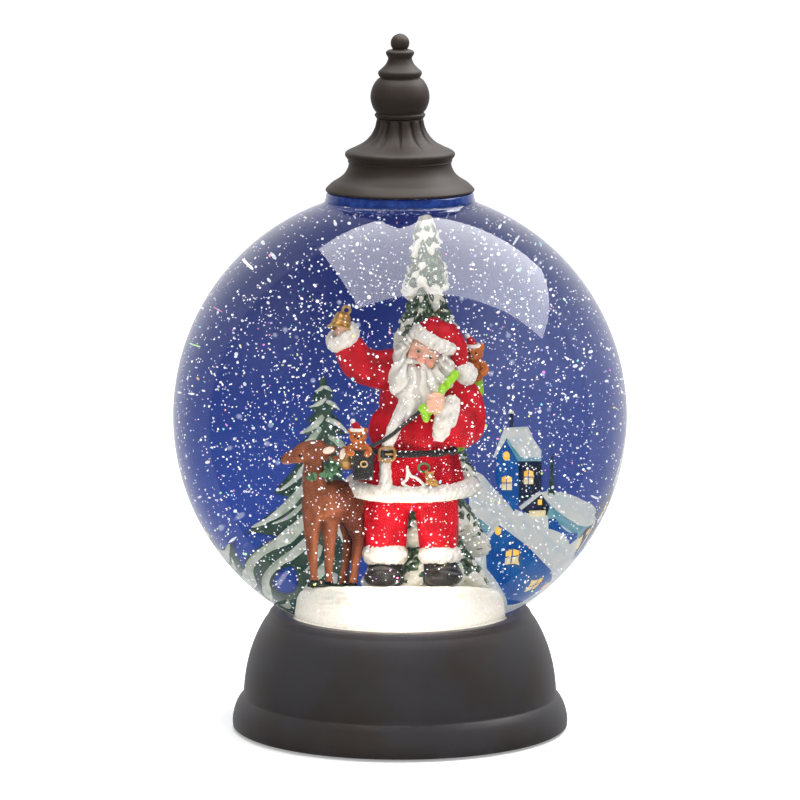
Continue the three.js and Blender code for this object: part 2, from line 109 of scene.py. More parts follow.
# ---------------------------------------------------------------------------- mesh helpers
def add_piece(name, points, faces, materials, body=BODY, replaces=(), slot=None, smooth=True,
              face_material=None, uv=None, colours=None):
    """A mesh object from points in millimetres and faces, riding on a body and standing for CAD nodes."""
    mesh = bpy.data.meshes.new(name)
    mesh.from_pydata((np.asarray(points, float) * MM).tolist(), [], [list(map(int, f)) for f in faces])
    for material in materials:
        mesh.materials.append(material)
    if face_material is not None:
        mesh.polygons.foreach_set("material_index", np.asarray(face_material, np.int32))
    mesh.polygons.foreach_set("use_smooth", np.full(len(mesh.polygons), smooth))
    if uv is not None:
        layer = mesh.uv_layers.new(name="UVMap")
        corners = np.empty(len(mesh.loops), np.int32)
        mesh.loops.foreach_get("vertex_index", corners)
        layer.data.foreach_set("uv", np.asarray(uv, float)[corners].ravel())
    if colours is not None:
        layer = mesh.color_attributes.new(name="tone", type="FLOAT_COLOR", domain="POINT")
        layer.data.foreach_set("color", np.asarray(colours, float).ravel())
    mesh.update()
    mesh.validate()
    piece = bpy.data.objects.new(name, mesh)
    bpy.context.scene.collection.objects.link(piece)
    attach(piece, body)
    if replaces:
        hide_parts(*replaces)
    return piece


def grid_faces(rows, columns, wrap_columns=False, wrap_rows=False):
    """Quads of a grid of rows by columns points; a wrapped side joins its last line to its first."""
    r = np.arange(rows if wrap_rows else rows - 1)
    c = np.arange(columns if wrap_columns else columns - 1)
    i, j = np.meshgrid(r, c, indexing="ij")
    i2, j2 = (i + 1) % rows, (j + 1) % columns
    return np.stack([i * columns + j, i * columns + j2, i2 * columns + j2, i2 * columns + j], -1).reshape(-1,
            4)


def smooth_line(points, count, closed=False):
    """A Catmull-Rom curve through the points, sampled evenly in its parameter."""
    p = np.asarray(points, float)
    n = len(p)
    spans = n if closed else n - 1
    t = np.linspace(0, spans, count, endpoint=not closed)
    k = np.minimum(t.astype(int), spans - 1)
    f = (t - k)[:, None]
    if closed:
        a, b, c, d = p[(k - 1) % n], p[k % n], p[(k + 1) % n], p[(k + 2) % n]
    else:
        a, b = p[np.maximum(k - 1, 0)], p[k]
        c, d = p[np.minimum(k + 1, n - 1)], p[np.minimum(k + 2, n - 1)]
    return 0.5 * (2 * b + (c - a) * f + (2 * a - 5 * b + 4 * c - d) * f**2 + (3 * b - a - 3 * c + d) * f**3)


def revolve(outline, segments, radial=None):
    """Turns a closed outline of (r, z) about Z. Points on the axis become single poles.

    radial(angle, r, z) may return a new r for the whole grid.
    """
    outline = np.asarray(outline, float)
    angle = np.linspace(0, 2 * np.pi, segments, endpoint=False)
    r = np.repeat(outline[:, :1], segments, 1)
    z = np.repeat(outline[:, 1:], segments, 1)
    if radial is not None:
        r = radial(angle[None, :], r, z)
    points = np.stack([r * np.cos(angle), r * np.sin(angle), z], -1).reshape(-1, 3)
    on_axis = outline[:, 0] < 1e-6
    faces = grid_faces(len(outline), segments, wrap_columns=True, wrap_rows=True)
    index = np.arange(len(points))
    for row in np.nonzero(on_axis)[0]:
        index[row * segments:(row + 1) * segments] = row * segments
    faces = index[faces]
    twin = faces == np.roll(faces, -1, 1)
    folds = twin.sum(1)
    at_pole = folds == 1
    used = np.unique(faces[folds < 2])
    remap = np.full(len(points), -1)
    remap[used] = np.arange(len(used))
    quads, threes = remap[faces[folds == 0]], remap[faces[at_pole][~twin[at_pole]].reshape(-1, 3)]
    return points[used], quads.tolist() + threes.tolist()


def outward(points, faces):
    """Turns every face round if the closed mesh's signed volume is negative."""
    p = np.asarray(points, float)
    total = 0.0
    for size in {len(f) for f in faces}:
        f = np.array([face for face in faces if len(face) == size])
        for k in range(1, size - 1):
            total += np.einsum("ij,ij->", p[f[:, 0]], np.cross(p[f[:, k]], p[f[:, k + 1]]))
    return points, (faces if total > 0 else [list(face)[::-1] for face in faces])


def loft(rings):
    """A closed skin over rings of points, (m, n, 3), with a pole in the middle of the first and last ring."""
    rings = np.asarray(rings, float)
    m, n, _ = rings.shape
    points = np.concatenate([rings.reshape(-1, 3), rings[:1].mean(1), rings[-1:].mean(1)])
    faces = grid_faces(m, n, wrap_columns=True).tolist()
    c = np.arange(n)
    faces += np.stack([np.full(n, m * n), (c + 1) % n, c], -1).tolist()
    faces += np.stack([np.full(n, m * n + 1), (m - 1) * n + c, (m - 1) * n + (c + 1) % n], -1).tolist()
    return outward(points, faces)


def turn_matrix(turn):
    """Rotation about X, then Y, then Z, by degrees."""
    x, y, z = np.radians(turn)
    rx = np.array([[1, 0, 0], [0, np.cos(x), -np.sin(x)], [0, np.sin(x), np.cos(x)]])
    ry = np.array([[np.cos(y), 0, np.sin(y)], [0, 1, 0], [-np.sin(y), 0, np.cos(y)]])
    rz = np.array([[np.cos(z), -np.sin(z), 0], [np.sin(z), np.cos(z), 0], [0, 0, 1]])
    return rz @ ry @ rx


def blob(centre, axes, turn=(0, 0, 0), rows=14, columns=22):
    """An ellipsoid: a unit sphere stretched by three semi-axes, turned and moved."""
    lift = np.linspace(-np.pi / 2, np.pi / 2, rows + 2)[1:-1, None]
    round_ = np.linspace(0, 2 * np.pi, columns, endpoint=False)[None, :]
    ball = np.stack([np.cos(lift) * np.cos(round_), np.cos(lift) * np.sin(round_),
                     np.sin(lift) + 0 * round_], -1)
    return loft(ball * np.asarray(axes, float) @ turn_matrix(turn).T + np.asarray(centre, float))


def limb(points, radii, columns=20, rows=24, flat=1.0, ends=True):
    """A round bar whose middle line runs smoothly through the points, with a radius at each point.

    flat squeezes the section along its second direction; ends closes it with round caps.
    """
    line = smooth_line(points, rows)
    radius = np.interp(np.linspace(0, 1, rows), np.linspace(0, 1, len(radii)), radii)
    way = np.gradient(line, axis=0)
    way /= np.linalg.norm(way, axis=1, keepdims=True)
    if ends:
        cap = np.sin(np.linspace(0.25, np.pi / 2, 4))
        lead = np.cos(np.linspace(0.25, np.pi / 2, 4))
        line = np.concatenate([line[:1] - way[:1] * (lead * radius[0])[:, None], line,
                               line[-1:] + way[-1:] * (lead[::-1] * radius[-1])[:, None]])
        radius = np.concatenate([cap * radius[0], radius, cap[::-1] * radius[-1]])
        way = np.concatenate([np.repeat(way[:1], 4, 0), way, np.repeat(way[-1:], 4, 0)])
    side = np.cross(way, [0.13, 0.21, 0.97] if abs(way[0, 2]) < 0.9 else [1.0, 0.1, 0.0])
    side /= np.linalg.norm(side, axis=1, keepdims=True)
    over = np.cross(way, side)
    a = np.linspace(0, 2 * np.pi, columns, endpoint=False)
    ring = side[:, None] * np.cos(a)[None, :, None] + over[:, None] * np.sin(a)[None, :, None] * flat
    return loft(line[:, None] + ring * radius[:, None, None])


def gather(*parts):
    """Several closed shapes as one list of points and faces."""
    points, faces, start = [], [], 0
    for p, f in parts:
        points.append(np.asarray(p, float))
        faces += [[v + start for v in face] for face in f]
        start += len(p)
    return np.concatenate(points), faces


def ripple(points, size, seed, waves=12):
    """Smooth lumpy noise from -1 to 1: a mean of sine waves in seeded directions, about size apart."""
    rng = np.random.default_rng(seed)
    ways = rng.normal(size=(waves, 3))
    ways *= (2 * np.pi / size) * rng.uniform(0.6, 1.5, (waves, 1)) / np.linalg.norm(ways, axis=1,
            keepdims=True)
    phase = rng.uniform(0, 2 * np.pi, waves)
    return np.sin(np.asarray(points) @ ways.T + phase).sum(1) / np.sqrt(waves) / 1.6


def sculpt(parts, voxel, smooth=6, relief=None):
    """Melts overlapping closed shapes into one cast skin of voxel-sized quads, then softens it.

    relief(points, normals) gives how far each point moves along its normal, in millimetres, and
    also its tone, a darkening from 0 to 1 that paints shade into the hollows. Returns points, faces and
    tones.
    """
    points, faces = gather(*parts)
    mesh = bpy.data.meshes.new("casting")
    mesh.from_pydata((points * MM).tolist(), [], faces)
    rough = bpy.data.objects.new("casting", mesh)
    bpy.context.scene.collection.objects.link(rough)
    remesh = rough.modifiers.new("melt", "REMESH")
    remesh.mode = "VOXEL"
    remesh.voxel_size = voxel * MM
    if smooth:
        soften = rough.modifiers.new("soften", "SMOOTH")
        soften.factor = 0.5
        soften.iterations = smooth
    bpy.context.view_layer.update()
    made = bpy.data.meshes.new_from_object(rough.evaluated_get(bpy.context.evaluated_depsgraph_get()))
    count = len(made.vertices)
    p, n = np.empty(count * 3), np.empty(count * 3)
    made.vertices.foreach_get("co", p)
    made.vertex_normals.foreach_get("vector", n)
    p, n = p.reshape(-1, 3) / MM, n.reshape(-1, 3)
    out = [list(poly.vertices) for poly in made.polygons]
    bpy.data.objects.remove(rough)
    bpy.data.meshes.remove(mesh)
    bpy.data.meshes.remove(made)
    tone = np.ones(count)
    if relief is not None:
        move, tone = relief(p, n)
        p = p + n * move[:, None]
    return p, out, tone


def tones(value):
    """A grey colour attribute from tones of 0 to 1."""
    v = np.clip(np.asarray(value, float), 0, 1)
    return np.stack([v, v, v, np.ones_like(v)], -1)


# ---------------------------------------------------------------------------- material helpers
def node_group(name, inputs, outputs):
    """A new shader node group with its sockets; gives the group, its input node and its output node."""
    group = bpy.data.node_groups.new(name, "ShaderNodeTree")
    for label, kind, default in inputs:
        socket = group.interface.new_socket(name=label, in_out="INPUT", socket_type=kind)
        socket.default_value = default
    for label, kind in outputs:
        group.interface.new_socket(name=label, in_out="OUTPUT", socket_type=kind)
    return group, group.nodes.new("NodeGroupInput"), group.nodes.new("NodeGroupOutput")


def own_place(tree):
    """The object's own coordinates."""
    return tree.nodes.new("ShaderNodeTexCoord").outputs["Object"]


def tone_node(tree):
    """The points' painted tone or colour."""
    node = tree.nodes.new("ShaderNodeAttribute")
    node.attribute_name = "tone"
    return node


def noise(tree, vector, scale, detail=3.0, roughness=0.55):
    """A noise texture; its scale is a number or a socket."""
    node = tree.nodes.new("ShaderNodeTexNoise")
    node.inputs["Detail"].default_value = detail
    node.inputs["Roughness"].default_value = roughness
    tree.links.new(vector, node.inputs["Vector"])
    if isinstance(scale, float):
        node.inputs["Scale"].default_value = scale
    else:
        tree.links.new(scale, node.inputs["Scale"])
    return node.outputs["Fac"]


def arithmetic(tree, operation, a, b=0.0, clamp=False):
    """A maths node on two numbers or sockets."""
    node = tree.nodes.new("ShaderNodeMath")
    node.operation = operation
    node.use_clamp = clamp
    for socket, value in zip(node.inputs, (a, b)):
        if isinstance(value, (int, float)):
            socket.default_value = value
        else:
            tree.links.new(value, socket)
    return node.outputs[0]


def blend_colour(tree, factor, a, b, mode="MIX"):
    """Mixes two colours, each given as a socket, a number or a tuple."""
    node = tree.nodes.new("ShaderNodeMix")
    node.data_type = "RGBA"
    node.blend_type = mode
    for socket, value in ((node.inputs["Factor"], factor), (node.inputs[6], a), (node.inputs[7], b)):
        if isinstance(value, bpy.types.NodeSocket):
            tree.links.new(value, socket)
        elif isinstance(value, (int, float)):
            socket.default_value = value
        else:
            socket.default_value = (*value[:3], 1.0)
    return node.outputs[2]


def ramp_between(tree, value, low, high):
    """0 below low, 1 above high, smooth between."""
    node = tree.nodes.new("ShaderNodeMapRange")
    node.interpolation_type = "SMOOTHSTEP"
    node.inputs["From Min"].default_value = low
    node.inputs["From Max"].default_value = high
    tree.links.new(value, node.inputs["Value"])
    return node.outputs["Result"]


def make_grain_group():
    """Surface Grain: two sizes of noise on the object's coordinates vary colour, roughness and height.

    Hollows, where the surface bends inwards, take the groove colour as painted shade,
    and ridges take the edge colour as a painted highlight.
    """
    group, given, result = node_group("Surface Grain",
            [("Color", "NodeSocketColor", (0.5, 0.5, 0.5, 1)),
             ("Second Color", "NodeSocketColor", (0.4, 0.4, 0.4, 1)),
             ("Groove Color", "NodeSocketColor", (0.1, 0.1, 0.1, 1)),
             ("Edge Color", "NodeSocketColor", (0.6, 0.6, 0.6, 1)),
             ("Patch Scale", "NodeSocketFloat", 120.0), ("Grain Scale", "NodeSocketFloat", 1500.0),
             ("Hollow Shade", "NodeSocketFloat", 0.5), ("Ridge Highlight", "NodeSocketFloat", 0.2),
             ("Roughness", "NodeSocketFloat", 0.5), ("Roughness Spread", "NodeSocketFloat", 0.1)],
            [("Color", "NodeSocketColor"), ("Roughness", "NodeSocketFloat"), ("Height", "NodeSocketFloat")])
    place = own_place(group)
    patch = noise(group, place, given.outputs["Patch Scale"], 4.0)
    grain = noise(group, place, given.outputs["Grain Scale"], 2.0)
    colour = blend_colour(group, ramp_between(group, patch, 0.35, 0.68), given.outputs["Color"],
                          given.outputs["Second Color"])
    bend = group.nodes.new("ShaderNodeNewGeometry").outputs["Pointiness"]
    hollow = arithmetic(group, "SUBTRACT", 1.0, ramp_between(group, bend, 0.42, 0.497))
    ridge = ramp_between(group, bend, 0.505, 0.58)
    colour = blend_colour(group, arithmetic(group, "MULTIPLY", hollow, given.outputs["Hollow Shade"]), colour,
                          given.outputs["Groove Color"])
    colour = blend_colour(group, arithmetic(group, "MULTIPLY", ridge, given.outputs["Ridge Highlight"]), colour,
                          given.outputs["Edge Color"])
    group.links.new(colour, result.inputs["Color"])
    spread = arithmetic(group, "MULTIPLY", arithmetic(group, "SUBTRACT", patch, 0.5),
                        given.outputs["Roughness Spread"])
    speck = arithmetic(group, "MULTIPLY", arithmetic(group, "SUBTRACT", grain, 0.5),
                       given.outputs["Roughness Spread"])
    total = arithmetic(group, "ADD", given.outputs["Roughness"], arithmetic(group, "ADD", spread, speck),
                       clamp=True)
    group.links.new(total, result.inputs["Roughness"])
    group.links.new(arithmetic(group, "ADD", grain, arithmetic(group, "MULTIPLY", patch, 0.4)),
                    result.inputs["Height"])
    return group


GRAIN = make_grain_group()


def shade(colour, factor):
    """A colour made darker or lighter."""
    return tuple(min(1.0, c * factor) for c in colour[:3])


def new_material(name):
    """A material with its node tree and its Principled shader."""
    material = bpy.data.materials.new(name)
    material.use_nodes = True
    return material, material.node_tree, material.node_tree.nodes["Principled BSDF"]


def finish_material(name, colour, roughness=0.5, second=None, groove=None, edge=None, patch=8.0, grain=0.6,
                    hollow_shade_amount=0.5, ridge_highlight_amount=0.25, spread=0.15, bump=0.02, metallic=0.0, coat=0.0,
                    toned=False, specular=0.5, glow=0.0, scatter=0.0):
    """An opaque finish: Surface Grain feeds colour, roughness and bump. patch and grain are sizes in mm."""
    material, tree, shader = new_material(name)
    skin = tree.nodes.new("ShaderNodeGroup")
    skin.node_tree = GRAIN
    # The groove colour paints shade into hollows and the edge colour paints a highlight onto ridges.
    for label, value in (("Color", colour), ("Second Color", second or shade(colour, 0.82)),
                         ("Groove Color", groove or shade(colour, 0.35)),
                         ("Edge Color", edge or shade(colour, 1.5))):
        skin.inputs[label].default_value = (*value[:3], 1.0)
    for label, value in (("Patch Scale", 1000.0 / patch), ("Grain Scale", 1000.0 / grain),
                         ("Hollow Shade", hollow_shade_amount), ("Ridge Highlight", ridge_highlight_amount), ("Roughness", roughness),
                         ("Roughness Spread", spread)):
        skin.inputs[label].default_value = value
    surface = skin.outputs["Color"]
    if toned:
        tone = tone_node(tree)
        surface = blend_colour(tree, 1.0, surface, tone.outputs["Color"], "MULTIPLY")
    tree.links.new(surface, shader.inputs["Base Color"])
    tree.links.new(skin.outputs["Roughness"], shader.inputs["Roughness"])
    bump_node = tree.nodes.new("ShaderNodeBump")
    bump_node.inputs["Strength"].default_value = 0.6
    bump_node.inputs["Distance"].default_value = bump * MM
    tree.links.new(skin.outputs["Height"], bump_node.inputs["Height"])
    tree.links.new(bump_node.outputs["Normal"], shader.inputs["Normal"])
    shader.inputs["Metallic"].default_value = metallic
    shader.inputs["Coat Weight"].default_value = coat
    shader.inputs["Coat Roughness"].default_value = 0.18
    shader.inputs["Specular IOR Level"].default_value = specular
    if scatter:
        shader.inputs["Subsurface Weight"].default_value = scatter
        shader.inputs["Subsurface Scale"].default_value = 0.002
    # glow makes the finish give off its own colour: painted light.
    if glow:
        tree.links.new(surface, shader.inputs["Emission Color"])
        shader.inputs["Emission Strength"].default_value = glow
    return material


def clear_material(name, ior, colour=(1.0, 1.0, 1.0), roughness=0.0):
    """Clear glass or plastic that lets the lamps' light through to what is behind it."""
    material, tree, shader = new_material(name)
    shader.inputs["Base Color"].default_value = (*colour, 1.0)
    shader.inputs["Transmission Weight"].default_value = 1.0
    shader.inputs["Roughness"].default_value = roughness
    shader.inputs["IOR"].default_value = ior
    open_way = tree.nodes.new("ShaderNodeBsdfTransparent")
    open_way.inputs["Color"].default_value = (*colour, 1.0)
    pick = tree.nodes.new("ShaderNodeMixShader")
    path = tree.nodes.new("ShaderNodeLightPath")
    tree.links.new(path.outputs["Is Shadow Ray"], pick.inputs["Fac"])
    tree.links.new(shader.outputs["BSDF"], pick.inputs[1])
    tree.links.new(open_way.outputs["BSDF"], pick.inputs[2])
    tree.links.new(pick.outputs["Shader"], tree.nodes["Material Output"].inputs["Surface"])
    return material


def bore(piece, cutters):
    """Cuts closed shapes out of a piece and takes the cutters away again."""
    for points, faces in cutters:
        mesh = bpy.data.meshes.new("cutter")
        mesh.from_pydata((np.asarray(points) * MM).tolist(), [], faces)
        tool = bpy.data.objects.new("cutter", mesh)
        bpy.context.scene.collection.objects.link(tool)
        cut = piece.modifiers.new("cut", "BOOLEAN")
        cut.operation = "DIFFERENCE"
        cut.solver = "EXACT"
        cut.object = tool
        bpy.context.view_layer.update()
        made = bpy.data.meshes.new_from_object(piece.evaluated_get(bpy.context.evaluated_depsgraph_get()))
        piece.modifiers.remove(cut)
        old = piece.data
        piece.data = made
        made.name = piece.name
        bpy.data.meshes.remove(old)
        bpy.data.objects.remove(tool)
        bpy.data.meshes.remove(mesh)


def brick(low, high):
    """A box between two corners as a closed shape."""
    (x0, y0, z0), (x1, y1, z1) = low, high
    points = np.array([[x, y, z] for z in (z0, z1) for y in (y0, y1) for x in (x0, x1)], float)
    faces = [[0, 2, 3, 1], [4, 5, 7, 6], [0, 1, 5, 4], [2, 6, 7, 3], [0, 4, 6, 2], [1, 3, 7, 5]]
    return outward(points, faces)


def arc(centre, radius, start, end, count):
    """Points of (r, z) along part of a circle; angles in degrees from the +r direction."""
    a = np.radians(np.linspace(start, end, count))
    return np.stack([centre[0] + radius * np.cos(a), centre[1] + radius * np.sin(a)], -1)


# ---------------------------------------------------------------------------- the ball, base and finial
def globe_outline(s):
    """The clear ball's wall as a closed outline: neck, outer ball, raised seat, inner ball."""
    c, big, small = s.globe_centre / MM, s.globe_radius / MM, (s.globe_radius - s.globe_wall) / MM
    neck, boss = s.neck_radius / MM, s.boss_radius / MM
    neck_in = neck - s.globe_wall / MM
    neck_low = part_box("globe_shell")[0][2] / MM
    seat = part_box("globe_shell")[1][2] / MM
    outer = arc((0, c), big, -np.degrees(np.arccos(neck / big)), np.degrees(np.arccos((boss + 3.2) / big)),
                90)
    inner = arc((0, c), small, 90, -np.degrees(np.arccos(neck_in / small)), 90)
    inner[0, 0] = 0.0
    seat_edge = smooth_line([outer[-1], (boss + 1.7, seat - 3.1), (boss + 0.8, seat - 2.0),
                             (boss + 0.25, seat - 0.9), (boss, seat - 0.3)], 18)[1:]
    boss_side = np.concatenate([seat_edge, [[boss - 0.3, seat], [boss * 0.5, seat], [0, seat]]])
    neck_side = np.array([[neck_in, neck_low], [neck - 0.3, neck_low], [neck, neck_low + 0.3],
                          [neck, neck_low + 3]])
    return np.concatenate([neck_side, outer, boss_side, inner])


def wet_faces(points, faces, s):
    """1 for the faces of the ball's wall that the water touches, else 0."""
    centres = points[[face if len(face) == 4 else [*face, face[0]] for face in faces]].mean(1)
    from_centre = centres - [0, 0, s.globe_centre / MM]
    limit = (s.globe_radius - 0.5 * s.globe_wall) / MM
    low = centres[:, 2] < s.rim_height / MM
    inner_neck = np.hypot(centres[:, 0], centres[:, 1]) < (s.neck_radius - 0.5 * s.globe_wall) / MM
    return np.where(low, inner_neck, np.linalg.norm(from_centre, axis=1) < limit).astype(int)


class SNOWGLOBE_OT_ball(bpy.types.Operator):
    """The clear water-filled ball: a wall with an open neck and a raised seat for the finial"""
    bl_idname = "snowglobe.ball"
    bl_label = "Clear Ball"

    def execute(self, context):
        s = context.scene.snowglobe_sizes
        points, faces = outward(*revolve(globe_outline(s), 160))
        air = clear_material("clear_wall_to_air", 1.49)
        water = clear_material("clear_wall_to_water", 1.49 / 1.333)
        add_piece("clear_ball", points, faces, [air, water], replaces=["globe_shell"], slot="clear_globe",
                  face_material=wet_faces(points, faces, s))
        return {"FINISHED"}


BASE_CURVE = [(56.2, 1.1), (56.3, 2.6), (56.1, 4.6), (55.4, 7.2), (54.4, 9.4), (53.2, 11.0)]
DOME_CURVE = [(52.55, 12.0), (52.3, 15.5), (51.7, 20.0), (50.5, 25.2), (48.7, 30.3), (46.4, 35.0),
              (44.3, 38.1)]


class SNOWGLOBE_OT_base(bpy.types.Operator):
    """The round moulded base: a rolled foot ring, a domed wall, a soft rim and a recess for the switch"""
    bl_idname = "snowglobe.base"
    bl_label = "Base"

    def execute(self, context):
        s = context.scene.snowglobe_sizes
        rim = s.rim_height / MM
        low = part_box("base_shell")[0][2] / MM
        outside = np.concatenate([[[54.9, low], [55.7, low]], smooth_line(BASE_CURVE, 26),
                [[52.75, 11.35], [52.6, 11.6]], smooth_line(DOME_CURVE, 46),
                arc((42.3, rim - 2.0), 2.0, 42, 90, 8), [[41.2, rim - 0.01], [40.0, rim - 0.03],
                [38.9, rim - 0.2], [38.0, rim - 0.6], [37.0, rim - 1.4], [36.6, 36.8], [36.6, 28.4],
                [41, 28.4]]])
        inside = np.array([[41, 36.2], [43.3, 35.6], [46, 31], [48, 25.5], [49.4, 20], [50, 15.5],
                           [50.4, 11.4], [53.0, 8.3], [53.9, 6], [53.9, low]])
        points, faces = outward(*revolve(np.concatenate([outside, inside]), 180))
        plastic = finish_material("base_plastic", context.scene.snowglobe_colours.base, roughness=0.46,
                patch=22, grain=0.45, bump=0.012, second=(0.0300, 0.0285, 0.0335), hollow_shade_amount=0.4,
                ridge_highlight_amount=0.35, edge=shade(context.scene.snowglobe_colours.base, 2.2), spread=0.10)
        shell = add_piece("base_dome", points, faces, [plastic], replaces=["base_shell"], slot="base_plastic")
        slider = np.array(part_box("switch_slider")) / MM
        mid = 0.5 * (slider[0][2] + slider[1][2])
        bore(shell, [brick((-11, 49.2, mid - 4), (11, 58, mid + 4)),
                     brick((-6.3, 40, mid - 1.8), (6.3, 56, mid + 1.8))])
        return {"FINISHED"}


SPIRE_CURVE = [(8.15, 205.9), (8.45, 206.5), (8.1, 207.0), (7.9, 207.3), (8.7, 208.4), (9.45, 210.2),
               (9.8, 212.4), (9.5, 214.6), (8.7, 216.6), (7.5, 218.2), (6.7, 218.75), (6.85, 219.2),
               (7.25, 220.0), (7.1, 220.9), (5.9, 222.0), (4.7, 223.3), (4.0, 224.9), (4.05, 225.6),
               (4.6, 226.5), (4.6, 227.4), (3.7, 228.0), (2.5, 228.25), (2.92, 229.1), (3.12, 230.2),
               (2.92, 231.3), (2.35, 232.25), (1.45, 232.95), (0.6, 233.25),]
CAP_CURVE = [(24.0, 181.0), (24.6, 181.3), (24.55, 182.0), (22.6, 183.9), (20.2, 185.4), (18.4, 187.0),
             (17.3, 189.0), (17.0, 190.6), (17.35, 191.0), (17.2, 191.4), (17.6, 192.1), (18.2, 193.0),
             (18.15, 193.9), (17.2, 194.7), (14.4, 196.0), (11.8, 197.5), (9.7, 199.6), (8.4, 202.0),
             (7.9, 204.0), (7.7, 205.2),]
# The outline, as (r, z), of a dark blue ring round the seat at the cap's foot: painted shade for the dark
# band below the finial.
SEAT_SHADE_OUTLINE = [(23.7, 180.92), (24.0, 180.95), (24.35, 180.6), (24.5, 179.9), (24.6, 179.0), (24.9, 178.1),
           (24.7, 177.95), (24.2, 178.5), (23.8, 179.4), (23.5, 180.3)]


def fluting(angle, r, z):
    """Twelve narrow grooves down the skirt: each is a bell curve across its angle that fades at both ends."""
    step = 2 * np.pi / 12
    off = (angle + step / 2) % step - step / 2
    width = 0.42 / np.maximum(r, 1)
    fade = np.clip((z - 195.4) / 2.2, 0, 1) * np.clip((205.0 - z) / 0.6, 0, 1)
    groove = np.exp(-(off / width) ** 2) * 0.75
    swell = 0.22 * np.cos(12 * angle + np.pi) * np.clip((z - 196) / 4, 0, 1)
    return r - (groove - swell) * fade * (r > 5)


class SNOWGLOBE_OT_finial(bpy.types.Operator):
    """The pointed finial: a turned spire of balls and rings on a fluted cap with a flared foot"""
    bl_idname = "snowglobe.finial"
    bl_label = "Finial"

    def execute(self, context):
        colour = context.scene.snowglobe_colours.finial
        # The finial's flutes and hollows get painted shade and its ridges a painted highlight, which gives
        # its sheen.
        bronze = finish_material("bronze_paint", colour, roughness=0.52, second=shade(colour, 0.86),
                patch=14, grain=0.4, groove=shade(colour, 0.25), edge=shade(colour, 1.7), ridge_highlight_amount=0.3,
                hollow_shade_amount=0.8, bump=0.012, metallic=0.12, spread=0.12, specular=0.3)
        low, high = np.array(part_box("finial_cap")) / MM
        cap = np.concatenate([[[0, low[2]]], smooth_line(CAP_CURVE, 220), [[0, high[2]]]])
        points, faces = outward(*revolve(cap, 288, fluting))
        add_piece("finial_cap_turned", points, faces, [bronze], replaces=["finial_cap"], slot="bronze_paint")
        # A glossy dark blue ring below the finial's foot: painted shade.
        seat_shade_paint = finish_material("painted_seat_shade", (0.006, 0.020, 0.13), roughness=0.16, patch=2.5, grain=0.5,
                bump=0.02, second=(0.012, 0.045, 0.22), ridge_highlight_amount=0.0, coat=0.5)
        points, faces = outward(*revolve(SEAT_SHADE_OUTLINE, 160))
        add_piece("seat_shade_ring", points, faces, [seat_shade_paint], slot="bronze_paint")
        low, high = np.array(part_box("finial_spire")) / MM
        spire = np.concatenate([[[0, low[2]], [7.9, low[2]]], smooth_line(SPIRE_CURVE, 190), [[0, high[2]]]])
        points, faces = outward(*revolve(spire, 112))
        add_piece("finial_spire_turned", points, faces, [bronze], replaces=["finial_spire"],
                  slot="bronze_paint")
        return {"FINISHED"}


# ---------------------------------------------------------------------------- snow, printed film and trees
def snow_material(name, glow_low, glow_high, low, high, warm=(1.0, 0.93, 0.78)):
    """White snow resin; it glows from its lower edge, where the lamps under it shine through."""
    snow = bpy.context.scene.snowglobe_colours.snow
    material = finish_material(name, shade(snow, 0.86), roughness=0.7, second=(0.66, 0.60, 0.49), patch=1.6,
            grain=0.35, bump=0.12, groove=(0.40, 0.33, 0.25), ridge_highlight_amount=0.0, hollow_shade_amount=0.5,
            scatter=0.15)
    tree = material.node_tree
    shader = tree.nodes["Principled BSDF"]
    height = tree.nodes.new("ShaderNodeSeparateXYZ")
    tree.links.new(own_place(tree), height.inputs[0])
    share = ramp_between(tree, height.outputs["Z"], high * MM, low * MM)
    amount = arithmetic(tree, "ADD", arithmetic(tree, "MULTIPLY", share, glow_low - glow_high), glow_high)
    speckle = ramp_between(tree, noise(tree, own_place(tree), 900.0),
                           0.2, 0.6)
    amount = arithmetic(tree, "MULTIPLY", amount,
                        arithmetic(tree, "ADD", arithmetic(tree, "MULTIPLY", speckle, 0.35), 0.65))
    glow = blend_colour(tree, 1.0, warm, amount, "MULTIPLY")
    tree.links.new(glow, shader.inputs["Emission Color"])
    shader.inputs["Emission Strength"].default_value = 1.0
    return material


